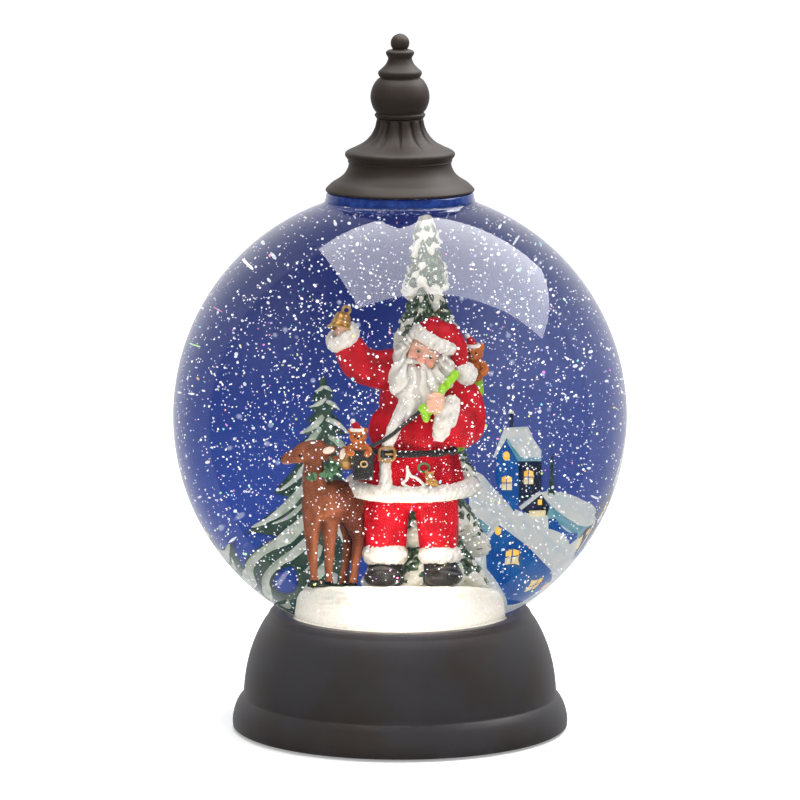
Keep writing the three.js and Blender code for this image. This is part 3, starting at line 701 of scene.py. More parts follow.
class SNOWGLOBE_OT_ground(bpy.types.Operator):
    """The mound of snow that the figures stand on, lit from below"""
    bl_idname = "snowglobe.ground"
    bl_label = "Snow Ground"

    def execute(self, context):
        s = context.scene.snowglobe_sizes
        top = s.ground_height / MM
        outside = np.concatenate([[[30.0, 37.8], [31.0, 38.2]],
                smooth_line([(31.0, 39.0), (30.3, 44.0), (28.5, 50.0), (26.7, 55.6), (25.6, 59.6),
                             (24.6, top - 1.0), (22.6, top - 0.5), (16.0, top - 0.25), (8.0, top - 0.2),
                             (1.0, top - 0.2)], 110), [[0, top - 0.2]]])
        inside = np.concatenate([[[0, 59.0]], smooth_line(
            [(8, 59), (21, 58.8), (23.4, 57.4), (25.2, 54.5), (26.8, 48.0), (28.0, 40), (28.2, 37.8)], 24)])

        def drifts(angle, r, z):
            along = np.stack([r * np.cos(angle), r * np.sin(angle), z], -1)
            flat = along.reshape(-1, 3)
            lump = (0.45 * ripple(flat, 9.0, 5) + 0.22 * ripple(flat, 2.6, 6)).reshape(r.shape)
            return r + np.where((r > 23.8) & (z > 40), np.minimum(lump, 0.0), 0.0)

        points, faces = revolve(np.concatenate([outside, inside]), 200, drifts)
        flat_top = (points[:, 2] > top - 3.5) & (np.hypot(points[:, 0], points[:, 1]) < 30)
        lift = 0.35 * ripple(points, 7.0, 8) + 0.16 * ripple(points, 1.9, 9)
        points[:, 2] += np.where(flat_top, np.minimum(lift, 0.2) - 0.1, 0)
        points, faces = outward(points, faces)
        add_piece("snow_mound", points, faces, [snow_material("lit_snow", 0.60, 0.13, 44, 61)],
                  replaces=["snow_ground"], slot="snow")
        return {"FINISHED"}


# The water ball is a strong lens: a point of the print at angle a from the point straight behind the
# centre shows at distance b from the centre, in ball radii: the light bends at the wall, so
# a = asin(b / n) + asin(b R / (n r)) - asin(b) + b R / d, where r is the film's radius, R the ball's
# and d how far off the onlooker stands. Past LENS_EDGE the ball folds the view back, so there the print
# runs on evenly, by RUN_ON radians to a ball radius.
WATER = 1.333
BALL = 76.0
FILM_SHARE = 72.4 / BALL
ONLOOKER = 1800.0 / BALL
LENS_EDGE = 0.855
RUN_ON = 0.45
INK_STEP = 2.4
VIEW_DROP = np.radians(9.07)


def film_point(seen, lift):
    """Where on the film a point is that should look to lie (right, up) millimetres from the ball's centre."""
    seen = np.asarray(seen, float)
    wanted = np.hypot(seen[:, 0], seen[:, 1]) / BALL
    b = np.minimum(wanted, LENS_EDGE)
    turn = np.arctan2(seen[:, 1], seen[:, 0])
    bent = np.arcsin(b / WATER) + np.arcsin(b / (WATER * FILM_SHARE)) - np.arcsin(b)
    a = bent + b / ONLOOKER + (wanted - b) * RUN_ON
    local = np.stack([np.sin(a) * np.cos(turn), np.cos(a), np.sin(a) * np.sin(turn)], -1)
    x, y, z = local.T
    c, d = np.cos(VIEW_DROP), np.sin(VIEW_DROP)
    return place_on_film(np.stack([x, y * c + z * d, z * c - y * d], -1), lift)


def place_on_film(direction, lift):
    """A point on the film in a direction from the ball's centre, lift millimetres inside it."""
    s = bpy.context.scene.snowglobe_sizes
    radius = (s.globe_radius - s.globe_wall) / MM - 1.0 - lift
    return direction * radius + [0, 0, s.globe_centre / MM]


def film_angles(turned, lift):
    """The same from two angles in degrees: round from straight behind, and up."""
    a, e = np.radians(np.asarray(turned, float)).T
    return place_on_film(np.stack([np.cos(e) * np.sin(a), np.cos(e) * np.cos(a), np.sin(e)], -1), lift)


def printed_patch(outline, place, lift, step, thick=0.05):
    """A thin inked shape: the outline's inside is cut into triangles no longer than step, laid on the film
    and closed with a back and an edge."""
    flat = np.asarray(outline, float)
    mesh = bpy.data.meshes.new("ink")
    tris = tessellate_polygon([[Vector((x, y, 0)) for x, y in flat]])
    mesh.from_pydata([(x, y, 0) for x, y in flat], [], [list(t) for t in tris])
    work = bmesh.new()
    work.from_mesh(mesh)
    for _ in range(5):
        long_edges = [e for e in work.edges if e.calc_length() > step]
        if not long_edges:
            break
        bmesh.ops.subdivide_edges(work, edges=long_edges, cuts=1)
        bmesh.ops.triangulate(work, faces=work.faces[:])
    bmesh.ops.recalc_face_normals(work, faces=work.faces[:])
    work.verts.ensure_lookup_table()
    spots = np.array([v.co[:2] for v in work.verts])
    faces = [[v.index for v in f.verts] for f in work.faces]
    rim = [(e.verts[0].index, e.verts[1].index, e.link_faces[0]) for e in work.edges
           if len(e.link_faces) == 1]
    edges = []
    for a, b, face in rim:
        order = [v.index for v in face.verts]
        if (order.index(a) + 1) % len(order) != order.index(b):
            a, b = b, a
        edges.append((a, b))
    work.free()
    bpy.data.meshes.remove(mesh)
    front, back = place(spots, lift + thick), place(spots, lift)
    n = len(spots)
    closed = faces + [[v + n for v in f[::-1]] for f in faces] + [[b, a, a + n, b + n] for a, b in edges]
    return outward(np.concatenate([front, back]), closed)


def fir_outline(x, foot, top, half, tiers, seed, droop=0.35):
    """A fir's edge: on each side every tier runs out along a drooping bough and steps back in."""
    rng = np.random.default_rng(seed)
    right = [(x, top)]
    for k in range(1, tiers + 1):
        f = k / tiers
        z = top + (foot - top) * f
        step = (top - foot) / tiers
        reach = half * f**0.85 * rng.uniform(0.88, 1.12)
        right += [(x + reach * 0.55, z + step * 0.62), (x + reach, z + step * 0.05 * rng.uniform(0, 2)),
                  (x + reach * 0.72, z - step * droop * 0.25), (x + reach * 0.52, z + step * 0.12)]
    left = [(2 * x - px + rng.uniform(-0.4, 0.4), pz + rng.uniform(-0.3, 0.3)) for px, pz in right[1:]][::-1]
    return right + left


def bough(x0, z0, x1, z1, width, seed):
    """A snow-laden bough: a wavy-edged streak from the trunk to its tip."""
    rng = np.random.default_rng(seed)
    t = np.linspace(0, 1, 12)
    way = np.array([x1 - x0, z1 - z0], float)
    across = np.array([-way[1], way[0]]) / np.hypot(*way)
    sag = np.sin(t * np.pi) * 0.08 * np.hypot(*way)
    middle = np.array([x0, z0]) + t[:, None] * way + across * sag[:, None]
    half = width * (0.45 + 0.55 * np.sin(np.pi * np.minimum(t * 1.15 + 0.1, 1.0))) * rng.uniform(0.8, 1.15,
            12) / 2
    half[-1] *= 0.3
    return np.concatenate([middle + across * half[:, None], (middle - across * half[:, None])[::-1]]).tolist()


def film_material(colours):
    """The printed night sky: deep blue above, paler below, soft clouds, faint stars."""
    material = finish_material("night_print", colours.night_high, roughness=0.32, patch=30, grain=0.5,
            bump=0.002, second=shade(colours.night_high, 1.25), hollow_shade_amount=0.0, ridge_highlight_amount=0.0)
    tree = material.node_tree
    shader = tree.nodes["Principled BSDF"]
    place = own_place(tree)
    height = tree.nodes.new("ShaderNodeSeparateXYZ")
    tree.links.new(place, height.inputs[0])
    cloud = noise(tree, place, 28.0, 5.0, 0.6)
    level = arithmetic(tree, "ADD", height.outputs["Z"],
                       arithmetic(tree, "MULTIPLY", arithmetic(tree, "SUBTRACT", cloud, 0.5), 0.03))
    sky = blend_colour(tree, ramp_between(tree, level, 0.118, 0.078), colours.night_high, colours.night_low)
    sky = blend_colour(tree, arithmetic(tree, "MULTIPLY", ramp_between(tree, cloud, 0.5, 0.72), 0.35), sky,
                       (0.12, 0.20, 0.52))
    # A paler patch of sky a little right of the middle, near the height of the ball's centre.
    away = tree.nodes.new("ShaderNodeVectorMath")
    away.operation = "DISTANCE"
    tree.links.new(place, away.inputs[0])
    away.inputs[1].default_value = (0.024, 0.068, 0.100)
    pale_patch = arithmetic(tree, "MULTIPLY", ramp_between(tree, away.outputs["Value"], 0.034, 0.004), 0.45)
    sky = blend_colour(tree, pale_patch, sky, (0.17, 0.22, 0.52))
    star = tree.nodes.new("ShaderNodeTexVoronoi")
    star.inputs["Scale"].default_value = 260.0
    tree.links.new(place, star.inputs["Vector"])
    point = ramp_between(tree, star.outputs["Distance"], 0.16, 0.07)
    sky = blend_colour(tree, arithmetic(tree, "MULTIPLY", point, 0.55), sky, (0.75, 0.82, 1.0))
    tree.links.new(sky, shader.inputs["Base Color"])
    # The sky also gives off its own colour: painted light for the light that comes through the film.
    tree.links.new(sky, shader.inputs["Emission Color"])
    shader.inputs["Emission Strength"].default_value = 0.25
    return material


def ink(name, colour, glow, second):
    """A printing ink in two tones that glows a little, as light comes through the film."""
    return finish_material(name, colour, roughness=0.35, patch=2.2, grain=0.3, bump=0.003, second=second,
                           hollow_shade_amount=0.0, ridge_highlight_amount=0.0, glow=glow)


def rect(x, z, wide, high):
    """The corners of an upright rectangle from its lower left one."""
    return [(x, z), (x + wide, z), (x + wide, z + high), (x, z + high)]


def village_seen():
    """The part of the print behind the figures, as it should look through the water: (ink, lift, outline)."""
    shapes = [
        # snow slopes on the right, each with a turquoise shadow along its lower edge
        ("snow", 0.02, [(23, -17), (28, -20), (33, -26), (38, -31), (42, -33), (47, -26), (50, -25.5),
            (55, -26), (60, -27.5), (64, -31), (68, -32), (66, -44), (56, -50), (40, -60), (24, -60)]),
        ("hill_far", 0.06, [(48, -27), (52, -31), (57, -35), (66, -37.5), (66, -40), (58, -39), (51, -35),
            (46, -29)]),
        ("hill_far", 0.08, [(26, -34), (33, -40), (42, -47), (50, -53), (56, -56), (53, -58), (45, -54),
            (36, -47), (27, -41)]),
        ("wall_blue", 0.10, [(29, -42), (33, -36.5), (43, -44), (50, -51), (54, -54), (48, -64), (36, -66),
            (27, -62), (28, -52)]),
        ("snow", 0.12, [(24, -40), (29, -44), (29.5, -52), (34, -58), (33, -64), (22, -66)]),
        # the near house: a blue gable, a dark side wall and a heavy snow roof
        ("wall_blue", 0.16, [(36.1, -8.3), (40, -13), (40.2, -30), (38.6, -32.4), (33.5, -25), (32.3, -21),
            (32.3, -13.8)]),
        ("wall", 0.18, [(40, -15), (48, -15.2), (48, -25), (40.4, -30.2)]),
        ("hill_far", 0.22, [(36.1, -8.6), (40, -15.4), (48, -15.4), (48, -13.4), (41, -12), (37, -6)]),
        ("snow", 0.26, [(31.4, -14.2), (35.4, -4.0), (43.4, -3.6), (45.4, -8), (48.1, -11.8), (47.9, -14.2),
            (41, -14.0), (36.2, -7.4), (32.4, -14.0)]),
        ("wall", 0.20, [(37.1, -3.8), (38.3, -3.8), (38.3, 1.0), (37.1, 1.0)]),
        ("snow", 0.28, [(36.7, 0.8), (38.7, 0.8), (38.5, 1.8), (36.9, 1.8)]),
    ]
    for x, z, w, h in ((34.6, -25.2, 3.4, 5.0), (42.2, -23.2, 3.2, 4.9), (36.4, -51.6, 4.9, 5.8)):
        arch = [(x, z), (x + w, z), (x + w, z + h * 0.86), (x + w * 0.5, z + h), (x, z + h * 0.86)]
        shapes.append(("window", 0.34, arch))
        shapes.append(("pane", 0.38, rect(x, z, w, h * 0.46)))
        shapes.append(("wall_blue", 0.42, rect(x + w * 0.46, z, w * 0.08, h)))
        shapes.append(("wall_blue", 0.42, rect(x, z + h * 0.44, w, h * 0.07)))
    for x, z, r in ((36.1, -13.6, 1.2), (33.4, -39.2, 1.1)):
        turn = np.linspace(0, 2 * np.pi, 14, endpoint=False)
        shapes.append(("window", 0.34, np.stack([x + r * np.cos(turn), z + 1.3 * r * np.sin(turn)],
                -1).tolist()))
    shapes += [
        # a small house behind the slope, a shed at the rim and the lower house's snowy eaves
        ("wall", 0.14, [(41, -31.5), (48, -26.5), (51, -31), (50, -34), (43, -33)]),
        ("snow", 0.30, [(40.4, -31.0), (47.6, -25.6), (48.4, -26.6), (41.4, -32.0)]),
        ("window", 0.32, [(47.1, -28.6), (48.5, -28.6), (48.5, -30.4), (47.1, -30.4)]),
        ("pane", 0.32, [(44, -32.4), (50, -32.4), (50, -34.2), (44.4, -34.2)]),
        ("wall_blue", 0.14, [(50.8, -35.2), (54, -35.6), (55.4, -39.4), (51.4, -39.0)]),
        ("wall", 0.15, [(57.5, -36.4), (62, -36.6), (66, -37.4), (66, -38.6), (60, -38.0)]),
        ("snow", 0.30, [(28.4, -42.6), (32.8, -35.6), (33.6, -35.4), (34.0, -36.8), (29.2, -43.4)]),
        ("needles", 0.40, fir_outline(52, -27, -12, 1.3, 5, 71)),
        # the tall fir on the left, its lower boughs spreading towards the edge
        ("needles", 0.26, fir_outline(-26, -10, 14, 8.5, 6, 3)),
        ("needles", 0.20, [(-28, -2), (-20, -12), (-17, -62), (-30, -68), (-33, -60), (-37, -52),
            (-44, -53), (-55, -57), (-60, -50), (-50, -46), (-42, -41), (-53, -40), (-44, -33), (-36, -28),
            (-43, -26), (-35, -17), (-37, -12), (-30, -6)]),
    ]
    boughs = [(-25, 6, -31, 3, 1.5), (-25, 5, -20.5, 2, 1.5), (-26, 0, -34, -6, 2.2),
              (-25, -1, -17.5, -6, 2.0), (-27, -4, -36, -12, 2.4), (-24, -7, -16.5, -14, 2.2),
              (-29, -12, -41, -25.5, 2.6), (-31, -22, -52, -39, 3.4), (-29, -32, -57, -50.5, 4.4),
              (-28, -39, -54, -56, 3.2), (-24, -48, -36, -62, 2.8), (-22, -54, -30, -68, 2.8),
              (-24, -24, -18, -36, 2.4), (-23, -36, -17, -48, 2.6), (-26, 10, -29, 8.3, 1.2),
              (-26, 10, -23, 8.2, 1.2), (-27, -44, -33, -54, 2.2), (-30, -9, -36, -12, 1.6),
              (-33, -30, -44, -37, 1.6), (-26, -28, -22, -38, 2.2), (-27, -20, -24, -30, 2.0)]
    for k, b in enumerate(boughs):
        shapes.append(("bough_snow", 0.34, bough(*b, 60 + k)))
    return shapes


def village_round():
    """The rest of the print, in degrees round and up: snow hills, firs and small houses to both sides."""
    shapes = []
    for side in (-1, 1):
        run = np.linspace(30, 84, 38)
        for ink_name, level, sway, lift in (("hill_far", -19, 3.2, 0.02), ("snow", -24, 2.4, 0.10),
                ("hill_far", -31, 2.6, 0.16), ("snow", -36, 2.0, 0.22)):
            top = level + sway * np.sin(run / 6.5 + level) + 1.2 * np.sin(run / 2.7 + level)
            line = [(side * a, u) for a, u in zip(run, top)] + [(side * a, -53.0)
                    for a in run[::-4]] + [(side * 30.0, -53.0)]
            shapes.append((ink_name, lift, line))
        for a, u, w in ((36, -24, 6.5), (61, -27, 7.5), (76, -26, 5.5)):
            x = side * a
            shapes.append(("wall", 0.28, [(x - w / 2, u), (x + w / 2, u), (x + w / 2, u + w * 0.6),
                    (x, u + w), (x - w / 2, u + w * 0.6)]))
            shapes.append(("snow", 0.34, [(x - w * 0.62, u + w * 0.52), (x, u + w * 1.12),
                    (x + w * 0.62, u + w * 0.52), (x + w * 0.5, u + w * 0.46), (x, u + w * 0.9),
                    (x - w * 0.5, u + w * 0.46)]))
            for k in (-0.26, 0.12):
                shapes.append(("window", 0.36, rect(x + w * k, u + w * 0.16, w * 0.15, w * 0.26)))
        for k, (a, u, h) in enumerate(((34, -30, 13), (45, -31, 12), (51, -27, 9), (69, -32, 14),
                (82, -30, 11))):
            shapes.append(("needles", 0.30, fir_outline(side * a, u, u + h, h * 0.3, 5, 20 + k)))
            for j in range(5):
                z = u + h * (0.12 + 0.17 * j)
                reach = h * 0.27 * (1 - 0.17 * j)
                for tip, seed in ((side * a - reach, 90), (side * a + reach, 190)):
                    shapes.append(("snow", 0.36, bough(side * a, z + 1.0, tip, z - 0.3, 0.7,
                            seed + 7 * k + j)))
    return shapes


class SNOWGLOBE_OT_backdrop(bpy.types.Operator):
    """The printed film inside the back of the ball, with its inked hills, houses and firs"""
    bl_idname = "snowglobe.backdrop"
    bl_label = "Printed Backdrop"

    def execute(self, context):
        colours = context.scene.snowglobe_colours
        columns, rows = 120, 84
        side, up = np.meshgrid(np.linspace(-86, 86, columns), np.linspace(-55, 79, rows))
        turned = np.stack([side.ravel(), up.ravel()], -1)
        front, back = film_angles(turned, 0.05), film_angles(turned, -0.25)
        n = rows * columns
        quads = grid_faces(rows, columns)
        index = np.arange(n).reshape(rows, columns)
        rim = np.concatenate([index[0, :-1], index[:-1, -1], index[-1, :0:-1], index[:0:-1, 0]])
        nxt = np.roll(rim, -1)
        faces = np.concatenate([quads, quads[:, ::-1] + n,
                np.stack([nxt, rim, rim + n, nxt + n], -1)]).tolist()
        points, faces = outward(np.concatenate([front, back]), faces)
        add_piece("night_film", points, faces, [film_material(colours)], replaces=["backdrop_film"],
                  slot="night_print")
        inks = {
            "hill_far": ink("ink_turquoise_shadow", (0.12, 0.42, 0.52), 0.25, (0.34, 0.62, 0.66)),
            "snow": ink("ink_snow", (0.76, 0.77, 0.69), 0.42, (0.62, 0.68, 0.66)),
            "bough_snow": ink("ink_bough_snow", (0.72, 0.75, 0.63), 0.28, (0.44, 0.52, 0.38)),
            "wall": ink("ink_dark_wall", (0.016, 0.028, 0.060), 0.12, (0.03, 0.05, 0.10)),
            "wall_blue": ink("ink_blue_wall", (0.008, 0.105, 0.43), 0.30, (0.012, 0.16, 0.50)),
            "window": ink("ink_lit_window", (0.95, 0.60, 0.10), 0.9, (0.9, 0.45, 0.06)),
            "pane": ink("ink_lit_pane", (0.90, 0.80, 0.50), 0.6, (0.9, 0.72, 0.36)),
            "needles": ink("ink_fir", (0.030, 0.085, 0.055), 0.12, (0.09, 0.15, 0.10)),
        }
        drawn = {name: [] for name in inks}
        for shapes, place in ((village_seen(), film_point), (village_round(), film_angles)):
            for name, lift, outline in shapes:
                drawn[name].append(printed_patch(outline, place, 0.12 + lift, INK_STEP))
        for name, parts in drawn.items():
            points, faces = gather(*parts)
            add_piece(f"print_{name}", points, faces, [inks[name]], slot="night_print")
        return {"FINISHED"}


class SNOWGLOBE_OT_tall_tree(bpy.types.Operator):
    """The standing fir behind the figures: stepped tiers of lobed boughs, weighed down with snow"""
    bl_idname = "snowglobe.tall_tree"
    bl_label = "Standing Tree"

    def execute(self, context):
        colours = context.scene.snowglobe_colours
        low, high = np.array(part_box("tall_tree")) / MM
        axis = 0.5 * (low + high)[:2] - [1.7, 0]
        rows, columns, tiers = 340, 230, 8.0
        f = np.linspace(0, 1, rows)[:, None]
        a = np.linspace(0, 2 * np.pi, columns, endpoint=False)[None, :]
        level = f * tiers + 0.16 * np.sin(3 * a + 5 * f) + 0.10 * np.sin(5 * a - 9 * f)
        tier, within = np.floor(level), level - np.floor(level)
        lobes = np.cos(a * (7 + tier % 3) + tier * 2.1) + 0.35 * np.cos(a * 13 + tier)
        reach = (0.4 + 13.3 * f**0.72) * np.sqrt(1 - np.clip(1 - f / 0.03, 0, 1)**2)
        bell = 0.66 + 0.42 * np.sin(0.5 * np.pi * within) - 0.42 * np.clip((within - 0.80) / 0.20, 0, 1)**2
        r = reach * bell * (1 + 0.085 * lobes * within)
        z = high[2] - (high[2] - low[2]) * f - 0.55 * within * (1 + lobes) * np.clip(f * 4, 0, 1)
        z = np.maximum(z, low[2] + 0.05)
        ring = np.stack([axis[0] + r * np.cos(a), axis[1] + r * np.sin(a), z], -1)
        flat = ring.reshape(-1, 3)
        lump = (0.62 * ripple(flat, 2.4, 31) + 0.30 * ripple(flat, 1.0, 32)).reshape(rows, columns)
        out = np.stack([np.cos(a) + 0 * f, np.sin(a) + 0 * f, 0 * f + 0 * a], -1)
        ring = ring + out * (lump * np.clip(f * 6, 0.25, 1))[..., None]
        ring[..., 2] = np.clip(ring[..., 2], low[2], high[2])
        points, faces = loft(ring)
        # snow lies in clumps on the outer part of each tier
        clump = ripple(flat, 3.4, 33).reshape(rows, columns)
        edge = np.clip((within - 0.58 + 0.14 * lobes + 0.36 * clump + 0.10 * lump) / 0.10, 0,
                       1) + np.clip(2.0 - f * 26, 0, 1)
        frost = np.clip(np.concatenate([edge.ravel(), [1.0, 0.0]]), 0, 1)
        material = finish_material("snowy_fir", colours.tree, roughness=0.6, second=shade(colours.tree, 0.5),
                patch=2.5, grain=0.5, bump=0.08, edge=(0.50, 0.58, 0.44), ridge_highlight_amount=0.7, hollow_shade_amount=0.7,
                groove=(0.012, 0.020, 0.014))
        tree = material.node_tree
        mask = tone_node(tree)
        shader = tree.nodes["Principled BSDF"]
        needles = shader.inputs["Base Color"].links[0].from_socket
        snowed = blend_colour(tree, ramp_between(tree, mask.outputs["Fac"], 0.3, 0.7), needles,
                              (0.80, 0.78, 0.68))
        tree.links.new(snowed, shader.inputs["Base Color"])
        add_piece("standing_fir", points, faces, [material], replaces=["tall_tree"], slot="tree_green",
                  colours=tones(frost))
        return {"FINISHED"}


# ---------------------------------------------------------------------------- cast and painted figures
def moved(shape, turn=(0, 0, 0), at=(0, 0, 0)):
    """A shape turned by degrees and moved."""
    points, faces = shape
    return np.asarray(points) @ turn_matrix(turn).T + np.asarray(at, float), faces


def hoop(centre, radii, tube, turn=(0, 0, 0), columns=64, rows=14, power=2.0, lift=0.0):
    """A closed tube round an oval in its own XY plane, turned and moved; power above 2 squares the corners.

    tube gives the section's half width outwards and upwards; lift raises the oval's two ends in Y.
    """
    a = np.linspace(0, 2 * np.pi, columns, endpoint=False)
    reach = (np.abs(np.cos(a))**power + np.abs(np.sin(a))**power)**(-1 / power)
    line = np.stack([radii[0] * reach * np.cos(a), radii[1] * reach * np.sin(a), lift * np.sin(a)], -1)
    way = np.roll(line, -1, 0) - np.roll(line, 1, 0)
    out = np.cross(way, [0, 0, 1.0])
    out /= np.linalg.norm(out, axis=1, keepdims=True)
    over = np.cross(out, way)
    over /= np.linalg.norm(over, axis=1, keepdims=True)
    t = np.linspace(0, 2 * np.pi, rows, endpoint=False)[None, :, None]
    ring = line[:, None] + out[:, None] * np.cos(t) * tube[0] + over[:, None] * np.sin(t) * tube[1]
    faces = grid_faces(columns, rows, wrap_columns=True, wrap_rows=True).tolist()
    return moved(outward(ring.reshape(-1, 3), faces), turn, centre)


def fur(depth, size, seed):
    """Relief for fur: tufts stretched downwards, with painted shade in the hollows between them."""
    def relief(p, n):
        lump = 0.62 * ripple(p * [1, 1, 0.6], size, seed) + 0.38 * ripple(p, size * 0.45, seed + 1)
        return depth * lump, 0.70 + 0.30 * np.clip(0.7 + 0.8 * lump, 0, 1)
    return relief


def cloth(depth, size, seed):
    """Relief for cast cloth: long soft folds running down, with a fine unevenness and painted shade in the
    folds' hollows.
    """
    def relief(p, n):
        fold = ripple(p * [1, 1, 0.33], size, seed)
        return depth * (0.85 * fold + 0.15 * ripple(p, 1.0, seed + 1)), 0.70 + 0.30 * np.clip(0.8 + 0.8
                * fold, 0, 1)
    return relief


def locks(depth, count, root, seed):
    """Relief for hair and beard: wavy locks that spread downwards from a root point, with painted shade
    between them.
    """
    def relief(p, n):
        side, down = p[:, 0] - root[0], root[2] - p[:, 2] + 5.0
        spread = np.arctan2(side, np.abs(down) + 2.0)
        wave = spread * count + 0.9 * np.sin(down * 0.75 + spread * 5)
        wave += 0.8 * ripple(p, 5.0, seed) + p[:, 1] * 0.6
        lock = 0.7 * np.sin(wave) + 0.3 * np.sin(2.3 * wave + 1.0)
        return depth * lock, 0.66 + 0.34 * np.clip(0.6 + 0.9 * lock, 0, 1)
    return relief


def paint(name):
    """The figures' hand-painted finishes, each made once."""
    made = bpy.data.materials.get(name)
    if made is not None:
        return made
    c = bpy.context.scene.snowglobe_colours
    white = c.fur_trim
    # red_cloth and lime_sack glow faintly: painted light that brightens them.
    looks = {"red_cloth": dict(colour=c.coat, second=shade(c.coat, 0.72), groove=(0.12, 0.002, 0.004),
            edge=(0.78, 0.05, 0.05), roughness=0.42, patch=5, ridge_highlight_amount=0.3, hollow_shade_amount=0.7, toned=True,
            glow=0.02), "white_fur": dict(colour=white, second=shade(white, 0.92), groove=(0.26, 0.21, 0.17),
            edge=(0.74, 0.71, 0.66), roughness=0.75, patch=3, ridge_highlight_amount=0.4, hollow_shade_amount=0.75,
            toned=True, scatter=0.1), "white_hair": dict(colour=(0.74, 0.70, 0.64),
            second=(0.67, 0.63, 0.56), groove=(0.28, 0.23, 0.18), roughness=0.6, edge=(0.80, 0.78, 0.74),
            patch=3, ridge_highlight_amount=0.4, hollow_shade_amount=0.75, toned=True),
             "skin": dict(colour=c.skin, second=shade(c.skin, 0.94), groove=(0.30, 0.09, 0.05),
                          edge=(0.84, 0.50, 0.36), roughness=0.45, patch=3, hollow_shade_amount=0.55, toned=True,
                          scatter=0.15), "black_leather": dict(colour=(0.014, 0.013, 0.013),
            second=(0.022, 0.021, 0.020), edge=(0.10, 0.10, 0.10), roughness=0.32, patch=3, ridge_highlight_amount=0.5,
            coat=0.3, toned=True), "gold": dict(colour=(0.50, 0.27, 0.075), second=(0.36, 0.18, 0.05),
            groove=(0.07, 0.03, 0.01), edge=(0.85, 0.62, 0.30), roughness=0.36, metallic=0.65, patch=2.5,
            ridge_highlight_amount=0.7, hollow_shade_amount=0.85), "lime_sack": dict(colour=(0.22, 0.46, 0.02),
            second=(0.30, 0.55, 0.04), groove=(0.05, 0.14, 0.01), roughness=0.5, edge=(0.5, 0.7, 0.15),
            patch=3, ridge_highlight_amount=0.5, toned=True, glow=0.04),
             "toy_fur": dict(colour=(0.46, 0.13, 0.035), second=(0.36, 0.09, 0.025),
                             groove=(0.12, 0.03, 0.01), roughness=0.7, edge=(0.72, 0.32, 0.12), patch=2,
                             ridge_highlight_amount=0.4, hollow_shade_amount=0.7, toned=True),
             "fawn_coat": dict(colour=c.fawn, second=shade(c.fawn, 0.75), groove=(0.10, 0.030, 0.012),
            edge=(0.62, 0.27, 0.11), roughness=0.5, patch=4, ridge_highlight_amount=0.3, hollow_shade_amount=0.75,
            toned=True), "pale_fur": dict(colour=(0.74, 0.66, 0.56), second=(0.66, 0.56, 0.46),
            roughness=0.6, patch=2), "dark_eye": dict(colour=(0.008, 0.005, 0.004), roughness=0.12, patch=1,
            ridge_highlight_amount=0.0, coat=0.6), "lip": dict(colour=(0.42, 0.03, 0.03), roughness=0.35, patch=1,
            ridge_highlight_amount=0.0), "evergreen": dict(colour=(0.02, 0.10, 0.035), second=(0.05, 0.17, 0.07),
            groove=(0.006, 0.02, 0.01), roughness=0.55, edge=(0.25, 0.36, 0.25), patch=1.5, ridge_highlight_amount=0.3,
            hollow_shade_amount=0.8), "dark_moss": dict(colour=(0.012, 0.018, 0.014), second=(0.03, 0.045, 0.03),
            roughness=0.6, patch=1.5, bump=0.1),}
    return finish_material(name, specular=0.14, **looks[name])


def cast_piece(name, material, parts, voxel, smooth=4, relief=None, floor=None, replaces=(), slot=None,
               tint_of=None):
    """Melts the parts together and adds them as one painted piece; floor flattens it underneath."""
    points, faces, tone = sculpt(parts, voxel, smooth, relief)
    if floor is not None:
        points[:, 2] = np.maximum(points[:, 2], floor)
    colours = tones(tone)
    if tint_of is not None:
        colours[:, :3] *= tint_of(points)
    return add_piece(name, points, faces, [paint(material)], replaces=replaces, slot=slot, colours=colours)


def waist_band(centre, radii, low, high, thick):
    """A flat band round an oval waist, as a closed shape."""
    outline = [(1 - thick / radii[0], low), (1.0, low), (1.02, 0.5 * (low + high)), (1.0, high),
               (1 - thick / radii[0], high)]
    points, faces = revolve(outline, 96)
    points = points * [radii[0], radii[1], 1] + [centre[0], centre[1], 0]
    return outward(points, faces)


GIVER = ["gift_giver"]
# The head's own axes: sideways, forwards and up, tipped to one side.
HEAD = np.array([6.2, -5.0, 123.2])
TIP = np.radians(28)
HEAD_AXES = np.array([[np.cos(TIP), 0, -np.sin(TIP)], [0, -1, 0], [np.sin(TIP), 0, np.cos(TIP)]])
HEAD_TURN = (0, 28, 0)


def on_head(*spots):
    """Points given as (sideways, forwards, up) from the middle of the head."""
    return (np.asarray(spots, float) @ HEAD_AXES + HEAD).tolist()


def head_blob(spot, axes, rows=14, columns=20):
    """An ellipsoid placed and tipped with the head."""
    return blob(on_head(spot)[0], axes, HEAD_TURN, rows, columns)


